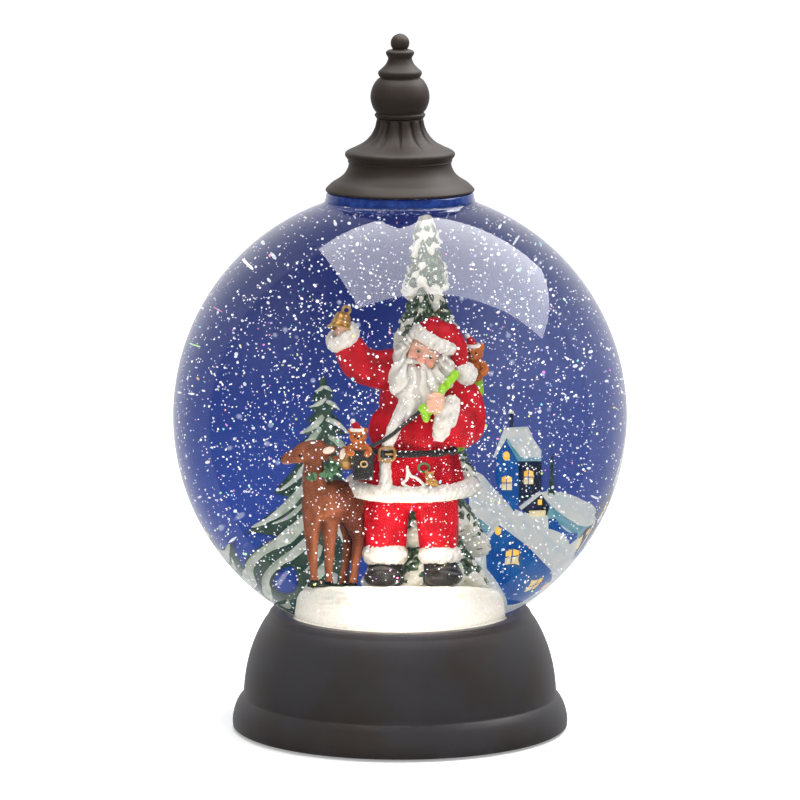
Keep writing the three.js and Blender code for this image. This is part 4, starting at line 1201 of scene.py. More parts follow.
def red_clothes():
    """Coat, sleeves, trousers and cap, before they are melted together."""
    level = np.linspace(0, 1, 9)[:, None]
    a = np.linspace(0, 2 * np.pi, 48, endpoint=False)[None, :]
    wide, deep = 10.7 + 3.6 * level**0.8, 7.8 + 1.9 * level**0.8
    skirt = np.stack([3.0 - 0.4 * level + wide * np.cos(a), -4.0 - 0.2 * level + deep * np.sin(a) + 0 * a,
                      98.5 - (98.5 - 88.2 + 1.4 * np.clip(-np.sin(a), 0, 1)) * level + 0 * a], -1)
    return [blob((4.8, -2.6, 109.5), (10.0, 6.8, 10.2)), blob((3.5, -3.8, 102.6), (11.6, 8.2, 8.8)),
            loft(skirt), blob((-0.2, -2.5, 117.2), (5.4, 5.0, 5.2)),
            blob((12.6, -2.5, 114.6), (5.0, 5.0, 5.6)),
            limb([(-0.5, -2.5, 118.2), (-5.8, -3.0, 118.2), (-10.7, -4.2, 120.4), (-13.6, -5.0, 124.6)],
                 [5.3, 5.0, 4.7, 4.0]), limb([(13.2, -2.5, 114.6), (16.7, -3.2, 108.6), (16.0, -6.4, 103.4),
            (12.6, -10.2, 105.6)], [5.0, 4.7, 5.1, 4.2]), blob((3.0, -4.0, 87.0), (11.6, 7.2, 5.0)),
            limb([(-3.0, -4.0, 86.0), (-3.7, -4.5, 79.0), (-3.8, -5.0, 72.0)], [6.2, 5.8, 5.2]),
            limb([(8.8, -4.0, 86.0), (9.5, -4.5, 79.0), (9.9, -5.0, 72.0)], [5.8, 5.2, 4.9]),
            limb([(8.4, -4.2, 126.0), (11.6, -3.8, 126.8), (14.4, -4.0, 124.4), (15.5, -4.6, 121.2),
                  (16.2, -5.0, 118.8)], [4.9, 4.3, 2.9, 2.1, 1.7]),
            blob((8.7, -4.0, 127.2), (5.2, 5.2, 4.6)),]


def fur_trims():
    """The white bands: cap, cuffs, front edge, hem, boot tops and the cap's ball."""
    return [hoop(on_head((0.8, 0.0, 4.15))[0], (5.0, 5.0), (1.6, 1.85), HEAD_TURN, lift=-0.4),
            blob((16.9, -5.2, 117.4), (3.1, 3.0, 3.1)), hoop((-14.9, -5.1, 127.2), (3.0, 3.0), (1.8, 2.3),
            (8, -36, 0)), limb([(13.5, -11.4, 110.6), (12.0, -12.2, 106.4), (10.4, -11.8, 102.6)],
            [2.4, 3.3, 2.0]), hoop((2.6, -3.9, 88.4), (14.7, 9.9), (2.0, 2.2), lift=1.5, columns=96),
            limb([(1.6, -9.9, 111.5), (0.3, -10.9, 108.0), (-1.6, -11.8, 104.0), (-3.0, -12.0, 100.5),
                  (-3.6, -10.6, 97.4), (-3.8, -12.1, 93.0), (-3.6, -13.0, 89.0)],
                 [1.6, 1.8, 1.8, 1.6, 1.5, 1.6, 1.7]), hoop((-3.8, -5.2, 71.0), (3.9, 3.9), (1.9, 2.7)),
            hoop((10.1, -5.2, 70.8), (3.6, 3.7), (1.9, 2.3)),]


def face_tint(points):
    """Rosy cheeks and nose on the painted skin."""
    local = (points - HEAD) @ HEAD_AXES.T
    rosy = sum(np.exp(-np.sum((local - spot)**2, 1) / size**2)
               for spot, size in (((-2.3, 4.2, -1.3), 1.3), ((2.3, 4.2, -1.3), 1.3), ((0, 6.0, -1.2), 0.9)))
    return 1 - np.clip(rosy, 0, 1)[:, None] * np.array([0.0, 0.36, 0.34])


class SNOWGLOBE_OT_clothes(bpy.types.Operator):
    """The gift-giver's red coat, trousers and cap with their white fur, belt, buckle, strap and boots"""
    bl_idname = "snowglobe.clothes"
    bl_label = "Clothes"

    def execute(self, context):
        ground = context.scene.snowglobe_sizes.ground_height / MM
        cast_piece("red_clothes", "red_cloth", red_clothes(), 0.32, 9, cloth(0.42, 5.5, 41), replaces=GIVER,
                   slot="red_coat")
        cast_piece("fur_trims", "white_fur", fur_trims(), 0.30, 2, fur(0.30, 1.5, 43), replaces=GIVER)
        boots = []
        for x, toe in ((-3.6, -4.6), (10.4, 11.4)):
            boots += [limb([(x, -4.6, 70), (x, -4.8, 66)], [4.6, 4.5]),
                      blob((toe, -8.6, 64.9), (4.9, 6.0, 3.0)), blob((x, -5.0, 64.6), (4.8, 5.2, 3.0))]
        cast_piece("boots", "black_leather", boots, 0.34, 5, cloth(0.16, 4.0, 45), ground - 0.25, GIVER,
                   "black_paint")
        cast_piece("belt", "black_leather", [waist_band((3.05, -4.0), (11.4, 8.6), 96.5, 98.4, 1.6),
                brick((-5.0, -13.0, 96.5), (-1.8, -11.4, 98.5))], 0.28, 2, cloth(0.10, 4, 46),
                   replaces=GIVER, slot="black_paint")
        strap = limb([(8.6, -12.0, 112.0), (4.6, -12.9, 108.3), (0.9, -13.2, 105.3), (-2.6, -13.7, 102.4),
                      (-6.4, -14.0, 100.2), (-9.6, -13.6, 98.2)], [0.85, 0.85, 0.85, 0.9, 0.9, 0.9],
                     flat=0.6)
        cast_piece("strap", "black_leather", [strap], 0.24, 1, replaces=GIVER, slot="black_paint")
        buckle = [hoop((-3.4, -13.2, 97.6), (2.1, 1.75), (0.42, 0.5), (84, 0, -10), power=3.2),
                  limb([(-3.6, -13.4, 97.6), (-1.6, -13.5, 97.6)], [0.3, 0.3])]
        cast_piece("buckle", "gold", buckle, 0.16, 1, replaces=GIVER, slot="gold_paint")
        sack = [limb([(14.4, -10.6, 118.2), (13.0, -11.8, 116.8), (11.0, -13.0, 114.4), (9.2, -13.4, 111.8),
                      (8.0, -13.9, 110.8)], [1.25, 1.15, 1.0, 0.9, 0.9]),
                blob((6.9, -14.2, 109.6), (2.1, 1.0, 1.5), (0, 20, 0)),
                blob((6.8, -14.2, 108.0), (1.3, 0.8, 1.9)), blob((15.6, 3.2, 112.2), (5.2, 4.2, 6.2)),
                blob((12.0, 4.2, 104.0), (8.0, 4.4, 8.4))]
        cast_piece("sack", "lime_sack", sack, 0.28, 2, cloth(0.28, 1.8, 48), replaces=GIVER,
                   slot="tree_green")
        return {"FINISHED"}


class SNOWGLOBE_OT_head(bpy.types.Operator):
    """A calm, friendly bearded head of plain book proportions, with a full beard, moustache and hands"""
    bl_idname = "snowglobe.head"
    bl_label = "Head and Hands"

    def execute(self, context):
        skin = [head_blob((0, 0, 0.2), (4.4, 4.9, 5.4), 20, 28),
                head_blob((0, 5.5, -1.25), (0.95, 1.0, 0.85)),
                limb(on_head((0, 4.7, 1.0), (0, 5.2, 0.0), (0, 5.6, -1.0)), [0.5, 0.55, 0.8], rows=10)]
        for side in (-1, 1):
            skin += [head_blob((2.15 * side, 3.9, -1.4), (1.55, 1.1, 1.35)),
                     head_blob((1.9 * side, 4.1, 1.45), (1.35, 0.8, 0.62)),
                     head_blob((0.72 * side, 5.25, -1.45), (0.55, 0.6, 0.5))]
        skin.append(head_blob((0.1, 3.9, -3.5), (1.6, 0.9, 0.9)))
        cast_piece("face", "skin", skin, 0.15, 2, replaces=GIVER, tint_of=face_tint)
        eyes, lids, brows = [], [], []
        for side in (-1, 1):
            eyes.append(head_blob((1.78 * side, 4.35, 0.32), (0.72, 0.62, 0.50)))
            lids.append(limb(on_head((1.05 * side, 4.75, 0.45), (1.75 * side, 5.0, 0.80),
                    (2.5 * side, 4.5, 0.42)), [0.16, 0.2, 0.16], rows=10, columns=10))
            brows.append(limb(on_head((0.9 * side, 4.75, 1.85), (1.9 * side, 4.6, 2.15),
                    (3.0 * side, 3.9, 1.6)), [0.20, 0.30, 0.14], rows=12))
        points, faces = gather(*eyes)
        local = (points - HEAD) @ HEAD_AXES.T
        iris = np.minimum(np.hypot(local[:, 0] + 1.72, local[:, 2] - 0.34),
                          np.hypot(local[:, 0] - 1.84, local[:, 2] - 0.34)) < 0.40
        eye_tone = np.where(iris, 0.05, 0.80)
        add_piece("eyes", points, faces, [paint("white_hair")], replaces=GIVER, colours=tones(eye_tone))
        points, faces = gather(*lids)
        add_piece("eyelids", points, faces, [paint("skin")], replaces=GIVER,
                  colours=tones(np.full(len(points), 0.55)))
        points, faces = gather(head_blob((0.1, 4.55, -3.15), (0.85, 0.55, 0.42)))
        add_piece("lips", points, faces, [paint("lip")], replaces=GIVER)
        by_the_face = [
            ((0.2, 3.4, -5.9), (3.9, 2.5, 2.0)), ((-5.2, 0.4, -2.6), (1.9, 3.2, 4.2)),
            ((5.1, 0.4, -2.6), (1.8, 3.2, 4.2)), ((-4.9, 0.4, 1.8), (1.2, 3.0, 2.4)),
            ((4.9, 0.4, 1.4), (1.1, 3.0, 2.0))]
        below = [
            ((1.2, -8.0, 116.2), (4.4, 3.3, 5.2)), ((4.2, -9.2, 114.6), (5.6, 3.2, 4.8)),
            ((8.6, -8.0, 115.2), (4.0, 3.2, 4.6)), ((3.4, -9.9, 110.8), (4.0, 2.5, 3.6)),
            ((2.4, -10.6, 108.4), (2.5, 1.8, 2.4)), ((12.2, -6.4, 117.6), (2.5, 3.0, 4.0)),
            ((8.0, 0.4, 121.5), (5.4, 3.0, 5.6)), ((4.0, -9.0, 117.4), (4.6, 2.6, 3.0)),
            ((6.6, -9.4, 113.2), (4.6, 2.8, 4.4)), ((0.6, -7.0, 119.8), (2.6, 3.2, 3.4))]
        beard = [head_blob(*row) for row in by_the_face] + [blob(*row) for row in below]
        cast_piece("beard_and_hair", "white_hair", beard, 0.26, 3, locks(0.26, 24.0, (5.0, -10, 120.0), 51),
                   replaces=GIVER)
        whiskers = brows
        for side in (-1, 1):
            whiskers.append(limb(on_head((0.2 * side, 5.05, -2.15), (1.4 * side, 5.0, -2.5),
                    (2.8 * side, 4.3, -3.3), (4.2 * side, 3.4, -4.5)), [0.40, 0.66, 0.66, 0.25], rows=20))
        cast_piece("moustache", "white_hair", whiskers, 0.15, 1, locks(0.10, 16.0, (5.0, -10, 121.5), 52),
                   replaces=GIVER)
        hands = [blob((9.4, -12.6, 111.2), (2.3, 1.9, 3.0), (0, 20, 0)),
                 limb([(11.6, -11.6, 107.4), (10.2, -12.3, 109.6)], [2.2, 2.1])]
        for k in range(4):
            z = 113.4 - 1.25 * k
            hands.append(limb([(10.8 - 0.35 * k, -13.4, z), (9.2 - 0.35 * k, -14.7, z - 0.1),
                    (7.7 - 0.35 * k, -14.2, z - 0.4)], [0.72, 0.74, 0.62], rows=10))
        hands += [blob((-14.9, -6.0, 128.9), (2.1, 1.9, 1.9)),
                  limb([(-14.2, -5.2, 126.6), (-14.8, -5.6, 128.2)], [1.8, 1.8])]
        for k in range(3):
            hands.append(limb([(-13.4 + 0.2 * k, -6.8, 128.2 + 0.9 * k), (-14.7, -7.7, 128.5 + 0.9 * k),
                    (-16.1, -7.4, 128.7 + 0.9 * k)], [0.62, 0.64, 0.5], rows=10))
        cast_piece("hands", "skin", hands, 0.2, 2, replaces=GIVER)
        return {"FINISHED"}


def bell_shape(radius, height):
    """A hand bell's thin cast cup, open below, mouth at z = 0, as a closed wall."""
    outer = smooth_line([(1.0, 0.0), (1.02, 0.06), (0.86, 0.16), (0.74, 0.40), (0.68, 0.66), (0.52, 0.88),
                         (0.28, 0.97), (0.0, 1.0)], 44)
    inner = smooth_line([(0.0, 0.90), (0.24, 0.88), (0.44, 0.80), (0.58, 0.60), (0.64, 0.38), (0.76, 0.16),
                         (0.92, 0.0)], 26)
    outline = np.concatenate([outer, inner]) * [radius, height]
    outline[[43, 44], 0] = 0.0
    return outward(*revolve(outline, 64))


class SNOWGLOBE_OT_trinkets(bpy.types.Operator):
    """The hand bell, the satchel, the trinkets on the coat and the two toy bears"""
    bl_idname = "snowglobe.trinkets"
    bl_label = "Bell, Bag and Bears"

    def execute(self, context):
        turn, at = (-24, 16, 0), (-15.9, -6.6, 129.6)
        bell = gather(moved(bell_shape(3.4, 4.9), turn, at),
                      moved(blob((0, 0, 0.7), (0.8, 0.8, 0.85)), turn, at),
                      moved(limb([(0, 0, 4.5), (0, 0, 1.0)], [0.25, 0.25], rows=6, columns=8), turn, at),
                      moved(hoop((0.5, 0, 5.5), (1.0, 0.95), (0.38, 0.38), (90, 0, 0)), turn, at),
                      moved(hoop((0, 0, 1.9), (2.5, 2.5), (0.2, 0.2)), turn, at))
        add_piece("brass_bell", *bell, [paint("gold")], replaces=["hand_bell"], slot="gold_paint")

        bag = [brick((-12.4, -15.0, 90.8), (-7.0, -11.6, 98.4)),
               brick((-12.7, -15.4, 95.4), (-6.7, -11.3, 98.9))]
        cast_piece("satchel_bag", "black_leather", bag, 0.26, 7, cloth(0.16, 3.0, 61), replaces=["satchel"],
                   slot="black_paint")
        clasp = [hoop((-9.5, -15.4, 95.2), (0.8, 0.7), (0.22, 0.22), (90, 0, 0), power=3, columns=32, rows=8)]
        add_piece("satchel_clasp", *gather(*clasp), [paint("gold")], replaces=["satchel"], slot="gold_paint")

        outline = [(1.9, 93.9), (2.7, 92.0), (4.4, 91.3), (6.4, 89.2), (5.0, 88.8), (4.4, 87.4), (2.8, 88.7),
                   (0.6, 89.9), (1.9, 91.2)]
        line = smooth_line(outline, 90, closed=True)
        path = np.stack([line[:, 0], -13.95 + 0.05 * (line[:, 0] - 3)**2 + 0.10 * (line[:, 1] - 90),
                         line[:, 1]], -1)
        cast_piece("white_charm", "white_fur",
                   [limb(np.concatenate([path, path[:2]])[::6], [0.42] * 3, rows=110, columns=10)], 0.14, 1,
                   replaces=GIVER)
        charm = [blob((7.6, -13.6, 91.8), (1.15, 0.8, 1.15)), blob((8.6, -13.7, 90.1), (1.35, 0.9, 1.0)),
                 blob((6.9, -13.6, 92.9), (0.5, 0.4, 0.5)), blob((8.4, -13.6, 92.6), (0.5, 0.4, 0.5)),
                 blob((7.2, -14.1, 90.4), (0.5, 0.5, 0.9)), blob((9.6, -13.6, 89.5), (0.6, 0.5, 0.4))]
        cast_piece("gold_charm", "gold", charm, 0.15, 2, replaces=GIVER, slot="gold_paint")
        ribbon = [hoop((6.2, -13.1, 94.0), (1.5, 1.1), (0.30, 0.34), (84, 0, 24), columns=40, rows=10)]
        add_piece("green_ribbon", *gather(*ribbon), [paint("evergreen")], replaces=GIVER, slot="tree_green")

        bears = (("bag_bear", "bear_in_satchel", (-11.0, -13.4, 102.3), 1.15, 63),
                 ("shoulder_bear", "bear_on_shoulder", (18.6, 1.0, 121.6), 1.25, 71))
        arms = (((-1.6, -0.6, -2.2), (-2.4, -1.5, -3.2), (-1.6, -2.1, -3.6)),
                ((1.8, -0.6, -2.2), (2.6, -1.4, -3.2), (2.0, -2.0, -3.8)))
        for name, node, head, size, seed in bears:
            def near(x, y, z):
                return head[0] + x * size, head[1] + y * size, head[2] + z * size

            def ball(spot, *axes):
                return blob(near(*spot), np.array(axes) * size)

            toy = [ball((0, 0, 0), 2.0, 1.9, 1.8), ball((-0.1, -1.6, -0.4), 0.85, 0.8, 0.7),
                   ball((-1.6, 0, 1.3), 0.75, 0.5, 0.75), ball((1.6, 0, 1.3), 0.75, 0.5, 0.75),
                   ball((0.4, 0.1, -3.4), 2.0, 1.7, 2.6)]
            toy += [limb([near(*spot) for spot in arm], [0.75 * size] * 3, rows=10) for arm in arms]
            cast_piece(name, "toy_fur", toy, 0.2, 2, fur(0.14, 0.9, seed), replaces=[node],
                       slot="brown_fur")
            cap = limb([near(-0.3, 0, 1.4), near(-0.5, 0, 2.4), near(-1.1, 0, 3.2)],
                       np.array([1.35, 0.9, 0.4]) * size, rows=12)
            cast_piece(f"{name}_cap", "red_cloth", [cap], 0.18, 2, cloth(0.06, 1.5, 64), replaces=[node],
                       slot="red_coat")
            brim = gather(hoop(near(-0.25, 0, 1.55), (1.35 * size, 1.3 * size), (0.4 * size, 0.42 * size),
                    columns=36, rows=10), ball((-1.2, 0, 3.5), 0.6, 0.6, 0.6))
            add_piece(f"{name}_fur", *brim, [paint("white_fur")], replaces=[node],
                      colours=tones(np.ones(len(brim[0]))))
            beads = gather(*[blob(near(x, y, z), [r * size] * 3, rows=6, columns=10) for x, y, z,
                             r in ((-0.75, -1.72, 0.25, 0.24), (0.6, -1.72, 0.25, 0.24),
                    (-0.1, -2.35, -0.2, 0.3))])
            add_piece(f"{name}_beads", *beads, [paint("dark_eye")], replaces=[node], slot="black_paint")
        return {"FINISHED"}


def fawn_tint(points):
    """Cream under the jaw, darker over the hind quarters and the upper hind legs."""
    jaw = np.clip((95.0 - points[:, 2]) / 0.8, 0, 1) * np.clip((-24.6 - points[:, 0]) / 1.2, 0,
            1) * (points[:, 2] > 90)
    back = np.clip((points[:, 0] + 17.5) / 4.0, 0, 1) * np.clip((points[:, 2] - 68) / 6, 0,
            1) * (points[:, 2] < 91)
    body = 1 - back[:, None] * np.array([0.56, 0.64, 0.58])
    return body + jaw[:, None] * np.array([0.8, 2.6, 6.0])


class SNOWGLOBE_OT_fawn(bpy.types.Operator):
    """The fawn beside the gift-giver, with a wreath and bell at its neck"""
    bl_idname = "snowglobe.fawn"
    bl_label = "Fawn"

    def execute(self, context):
        node = ["fawn"]
        ground = context.scene.snowglobe_sizes.ground_height / MM
        body = [limb([(-20.6, -8.4, 84.4), (-16.0, -6.2, 84.8), (-12.4, -3.6, 84.2)], [4.9, 5.3, 4.8]),
                limb([(-20.8, -8.6, 85.2), (-22.3, -8.9, 89.6), (-22.4, -8.9, 94.2), (-22.0, -8.8, 96.8)],
                     [4.2, 3.1, 2.6, 2.7]), limb([(-21.2, -8.7, 98.0), (-24.2, -9.2, 97.6),
                (-27.6, -9.6, 96.5), (-30.2, -9.9, 95.6)], [2.75, 2.85, 1.9, 1.15]),
                limb([(-22.6, -9.4, 82.5), (-22.9, -9.5, 73.0), (-22.5, -9.5, 66.0), (-22.5, -9.6, 63.2)],
                     [2.9, 1.5, 1.05, 1.2]), limb([(-18.2, -6.6, 82.0), (-18.0, -6.3, 73.0),
                (-18.3, -6.3, 66.0), (-18.3, -6.5, 63.2)], [2.9, 1.5, 1.05, 1.2]),
                limb([(-12.6, -5.6, 82.0), (-10.6, -5.0, 75.0), (-11.4, -4.8, 68.0), (-12.0, -5.2, 63.2)],
                     [3.4, 1.6, 1.05, 1.2]), limb([(-13.2, -2.0, 82.0), (-12.6, -1.0, 75.0),
                (-13.6, -0.8, 68.0), (-14.0, -1.2, 63.2)], [3.4, 1.6, 1.05, 1.2]),
                limb([(-8.8, -2.6, 86.0), (-7.7, -2.0, 84.0)], [1.1, 0.6], rows=8),]
        cast_piece("fawn_body", "fawn_coat", body, 0.27, 5, cloth(0.16, 3.2, 71), ground - 0.1, node,
                   "brown_fur", fawn_tint)
        for name, material, size, shift in (("fawn_ears", "fawn_coat", 1.0, 0.0),
                ("fawn_ear_insides", "pale_fur", 0.74, -0.34)):
            ears = [blob((-18.6, -10.6 + shift, 98.3), (2.3 * size, 0.5, 1.25 * size), (0, -14, 0)),
                    blob((-14.9, -10.9 + shift, 97.4), (1.1 * size, 0.5, 2.1 * size), (0, 16, 0))]
            if size == 1.0:
                ears += [limb([(-21.6, -9.4, 97.8), (-19.8, -10.4, 98.0)], [0.9, 0.7], rows=8),
                         limb([(-20.6, -8.6, 96.4), (-15.4, -10.6, 95.9)], [0.9, 0.6], rows=8)]
            cast_piece(name, material, ears, 0.18, 2, replaces=node, slot="brown_fur")
        beads = gather(blob((-26.0, -11.45, 96.9), (0.62, 0.36, 0.52)),
                       blob((-31.0, -9.95, 95.9), (0.55, 0.75, 0.5)),
                       *[blob((x, y, 62.9), (1.3, 1.5, 0.9)) for x,
                         y in ((-22.5, -9.6), (-18.3, -6.5), (-12.0, -5.2), (-14.0, -1.2))])
        add_piece("fawn_eye_nose_hooves", *beads, [paint("dark_eye")], replaces=node, slot="black_paint")
        rng = np.random.default_rng(73)
        leaves = []
        for a in np.linspace(0, 2 * np.pi, 40, endpoint=False):
            spot = np.array([3.5 * np.cos(a), 3.4 * np.sin(a), 0.5 * np.cos(a)]) + rng.normal(0, 0.28, 3)
            leaves.append(moved(blob((0, 0, 0), (1.25, 0.55, 0.4), tuple(rng.uniform(0, 360, 3)), 6, 8),
                    (0, 20, 0), spot + [-21.0, -9.0, 91.8]))
        for _ in range(16):
            leaves.append(blob(rng.normal((-17.0, -10.4, 93.2), (0.9, 0.6, 1.1)), (1.2, 0.5, 0.45),
                    tuple(rng.uniform(0, 360, 3)), 6, 8))
        add_piece("fawn_wreath", *gather(*leaves), [paint("evergreen")], replaces=node, slot="tree_green")
        ball = [blob((-13.7, -9.8, 95.3), (2.2, 2.1, 2.3), rows=18, columns=26),
                hoop((-13.7, -9.8, 95.2), (2.2, 2.1), (0.16, 0.2))]
        add_piece("fawn_bell", *gather(*ball), [paint("gold")], replaces=node, slot="gold_paint")
        patch = [blob((-17.0, -7.4, ground - 0.1), (7.6, 4.4, 0.7)),
                 blob((-21.8, -9.4, ground + 0.1), (2.6, 2.0, 1.0))]
        cast_piece("fawn_ground", "dark_moss", patch, 0.3, 2, fur(0.35, 1.2, 75), ground - 0.5, node,
                   "black_paint")
        return {"FINISHED"}


# ---------------------------------------------------------------------------- glitter
class SNOWGLOBE_OT_glitter(bpy.types.Operator):
    """Thousands of thin six-sided flakes, scattered through the water in front of and around the figures"""
    bl_idname = "snowglobe.glitter"
    bl_label = "Glitter"

    def execute(self, context):
        s = context.scene.snowglobe_sizes
        rng = np.random.default_rng(s.seed)
        centre = np.array([0, 0, s.globe_centre / MM])
        radius = (s.globe_radius - s.globe_wall) / MM
        spots = rng.uniform(-radius, radius, (s.flakes * 6, 3))
        far = np.linalg.norm(spots, axis=1)
        spots = spots[(far < radius - 1.6) & (far > 4)] + centre
        ground, tree = np.array(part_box("snow_ground")) / MM, np.array(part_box("tall_tree")) / MM
        out_of_ground = (spots[:, 2] > ground[1][2] + 0.8) | (np.hypot(spots[:, 0],
                spots[:, 1]) > ground[1][0] + 1)
        out_of_ground &= spots[:, 2] > s.rim_height / MM + 1.5
        out_of_film = spots[:, 1] < radius * 0.80
        free = out_of_ground & out_of_film
        # blocks round the tree, the gift-giver and the fawn: middle x and y, half sizes and top
        for x, y, wide, deep, top in ((*tree.mean(0)[:2], 9, 9, tree[1][2]), (3, -3, 13, 8, 134),
                (-18, -8, 9, 7, 100)):
            free &= ~((np.abs(spots[:, 0] - x) < wide) & (np.abs(spots[:, 1] - y) < deep)
                      & (spots[:, 2] < top))
        spots = spots[free][:s.flakes]
        count = len(spots)
        size = rng.choice([0.16, 0.22, 0.30, 0.40], count, p=[0.40, 0.36, 0.18, 0.06]) * rng.uniform(0.8,
                1.2, count)
        normal = rng.normal(size=(count, 3))
        normal[:, 1] *= 1.6
        normal /= np.linalg.norm(normal, axis=1, keepdims=True)
        side = np.cross(normal, rng.normal(size=(count, 3)))
        side /= np.linalg.norm(side, axis=1, keepdims=True)
        over = np.cross(normal, side)
        a = np.arange(6) * np.pi / 3
        ring = side[:, None] * np.cos(a)[None, :, None] + over[:, None] * np.sin(a)[None, :, None]
        ring *= size[:, None, None]
        thick = normal[:, None] * 0.025
        points = np.concatenate([spots[:, None] + ring + thick, spots[:, None] + ring - thick],
                1).reshape(-1, 3)
        k = np.arange(6)
        after, start = (k + 1) % 6, 12 * np.arange(count)[:, None, None]
        caps = np.array([k, k[::-1] + 6]) + start
        walls = np.stack([k + 6, after + 6, after, k], -1) + start
        faces = caps.reshape(-1, 6).tolist() + walls.reshape(-1, 4).tolist()
        hue = rng.uniform(0, 1, count)
        vivid = rng.uniform(0, 1, count) < 0.10
        rainbow = 0.5 + 0.5 * np.cos(2 * np.pi * (hue[:, None] + np.array([0.0, 0.33, 0.67])))
        colour = np.where(vivid[:, None], 0.25 + 0.75 * rainbow, np.array([0.95, 0.95, 1.0]))
        colour = np.concatenate([colour, np.ones((count, 1))], 1)
        material, tree, shader = new_material("glitter_foil")
        tone = tone_node(tree)
        tree.links.new(tone.outputs["Color"], shader.inputs["Base Color"])
        # The flakes give off their own colour: painted light for the lamps' sparkle on the foil.
        tree.links.new(tone.outputs["Color"], shader.inputs["Emission Color"])
        shader.inputs["Emission Strength"].default_value = 0.55
        shader.inputs["Metallic"].default_value = 0.3
        shine = noise(tree, own_place(tree), 300.0)
        tree.links.new(arithmetic(tree, "MULTIPLY", shine, 0.6), shader.inputs["Roughness"])
        add_piece("glitter_flakes", points, faces, [material], slot="snow", smooth=False,
                  colours=np.repeat(colour, 12, 0))
        return {"FINISHED"}


# ---------------------------------------------------------------------------- carried-over CAD pieces
class SNOWGLOBE_OT_fittings(bpy.types.Operator):
    """Finishes for the pieces kept as they are: cover, door, feet, screws, cells, motor, lamps and boards"""
    bl_idname = "snowglobe.fittings"
    bl_label = "Fittings"

    def execute(self, context):
        steel = dict(roughness=0.3, metallic=1.0, patch=3, grain=0.3, bump=0.006, hollow_shade_amount=0.6)
        looks = {"base_plastic": finish_material("base_plastic_inner", context.scene.snowglobe_colours.base,
                roughness=0.5), "inner_plastic": finish_material("moulded_inner_plastic",
                (0.030, 0.029, 0.030), roughness=0.55, patch=12, grain=0.5, ridge_highlight_amount=0.4,
                edge=(0.09, 0.09, 0.09), bump=0.02), "rubber": finish_material("foot_rubber",
                (0.018, 0.018, 0.018), roughness=0.85, patch=4, grain=0.3, bump=0.03),
                 "steel": finish_material("plated_steel", (0.56, 0.55, 0.53), **steel),
                 "circuit_board": finish_material("board_lacquer", (0.012, 0.10, 0.045), roughness=0.35,
                patch=3, grain=0.8, coat=0.4, second=(0.02, 0.17, 0.07)),
                 "ferrite": finish_material("sintered_ferrite", (0.035, 0.035, 0.038), roughness=0.6,
                patch=2, grain=0.25, bump=0.03), "white_plastic": finish_material("white_moulded_plastic",
                (0.80, 0.79, 0.76), roughness=0.38, patch=6, grain=0.4, groove=(0.45, 0.43, 0.40),
                bump=0.01), "clear_plastic": clear_material("clear_moulded_plug", 1.49, (0.96, 0.98, 1.0),
                0.05), "black_paint": finish_material("black_switch_plastic", (0.015, 0.015, 0.015),
                roughness=0.4, patch=5), "cell_sleeve": finish_material("cell_sleeve", (0.03, 0.14, 0.10),
                roughness=0.28, patch=9, grain=0.5, coat=0.5, second=(0.05, 0.19, 0.13), metallic=0.3),
                 "lead_sheath": finish_material("lead_insulation", (0.016, 0.016, 0.016), roughness=0.45,
                patch=2),}
        slots = {row["node"]: row["material_slot"] for row in frame["record"]["subparts"]}
        for name, node in frame["nodes"].items():
            look = looks.get(slots.get(name))
            if look is not None:
                node.data.materials.clear()
                node.data.materials.append(look)
        return {"FINISHED"}


# ---------------------------------------------------------------------------- stage
def soft_lamp(name, spot, width, height, power, turn=None, mirrored=True):
    """A flat light at spot, facing the ball or turned by degrees; one that isn't mirrored only lights."""
    data = bpy.data.lights.new(name, "AREA")
    data.shape = "RECTANGLE"
    data.size, data.size_y = width, height
    data.energy = power
    lamp = bpy.data.objects.new(name, data)
    bpy.context.scene.collection.objects.link(lamp)
    lamp.location = spot
    if turn is None:
        middle = Vector((0, 0, bpy.context.scene.snowglobe_sizes.globe_centre))
        lamp.rotation_euler = (middle - Vector(spot)).to_track_quat("-Z", "Y").to_euler()
    else:
        lamp.rotation_euler = np.radians(turn)
    lamp.visible_glossy = mirrored
    lamp.visible_transmission = mirrored
    lamp.visible_camera = False
    return lamp


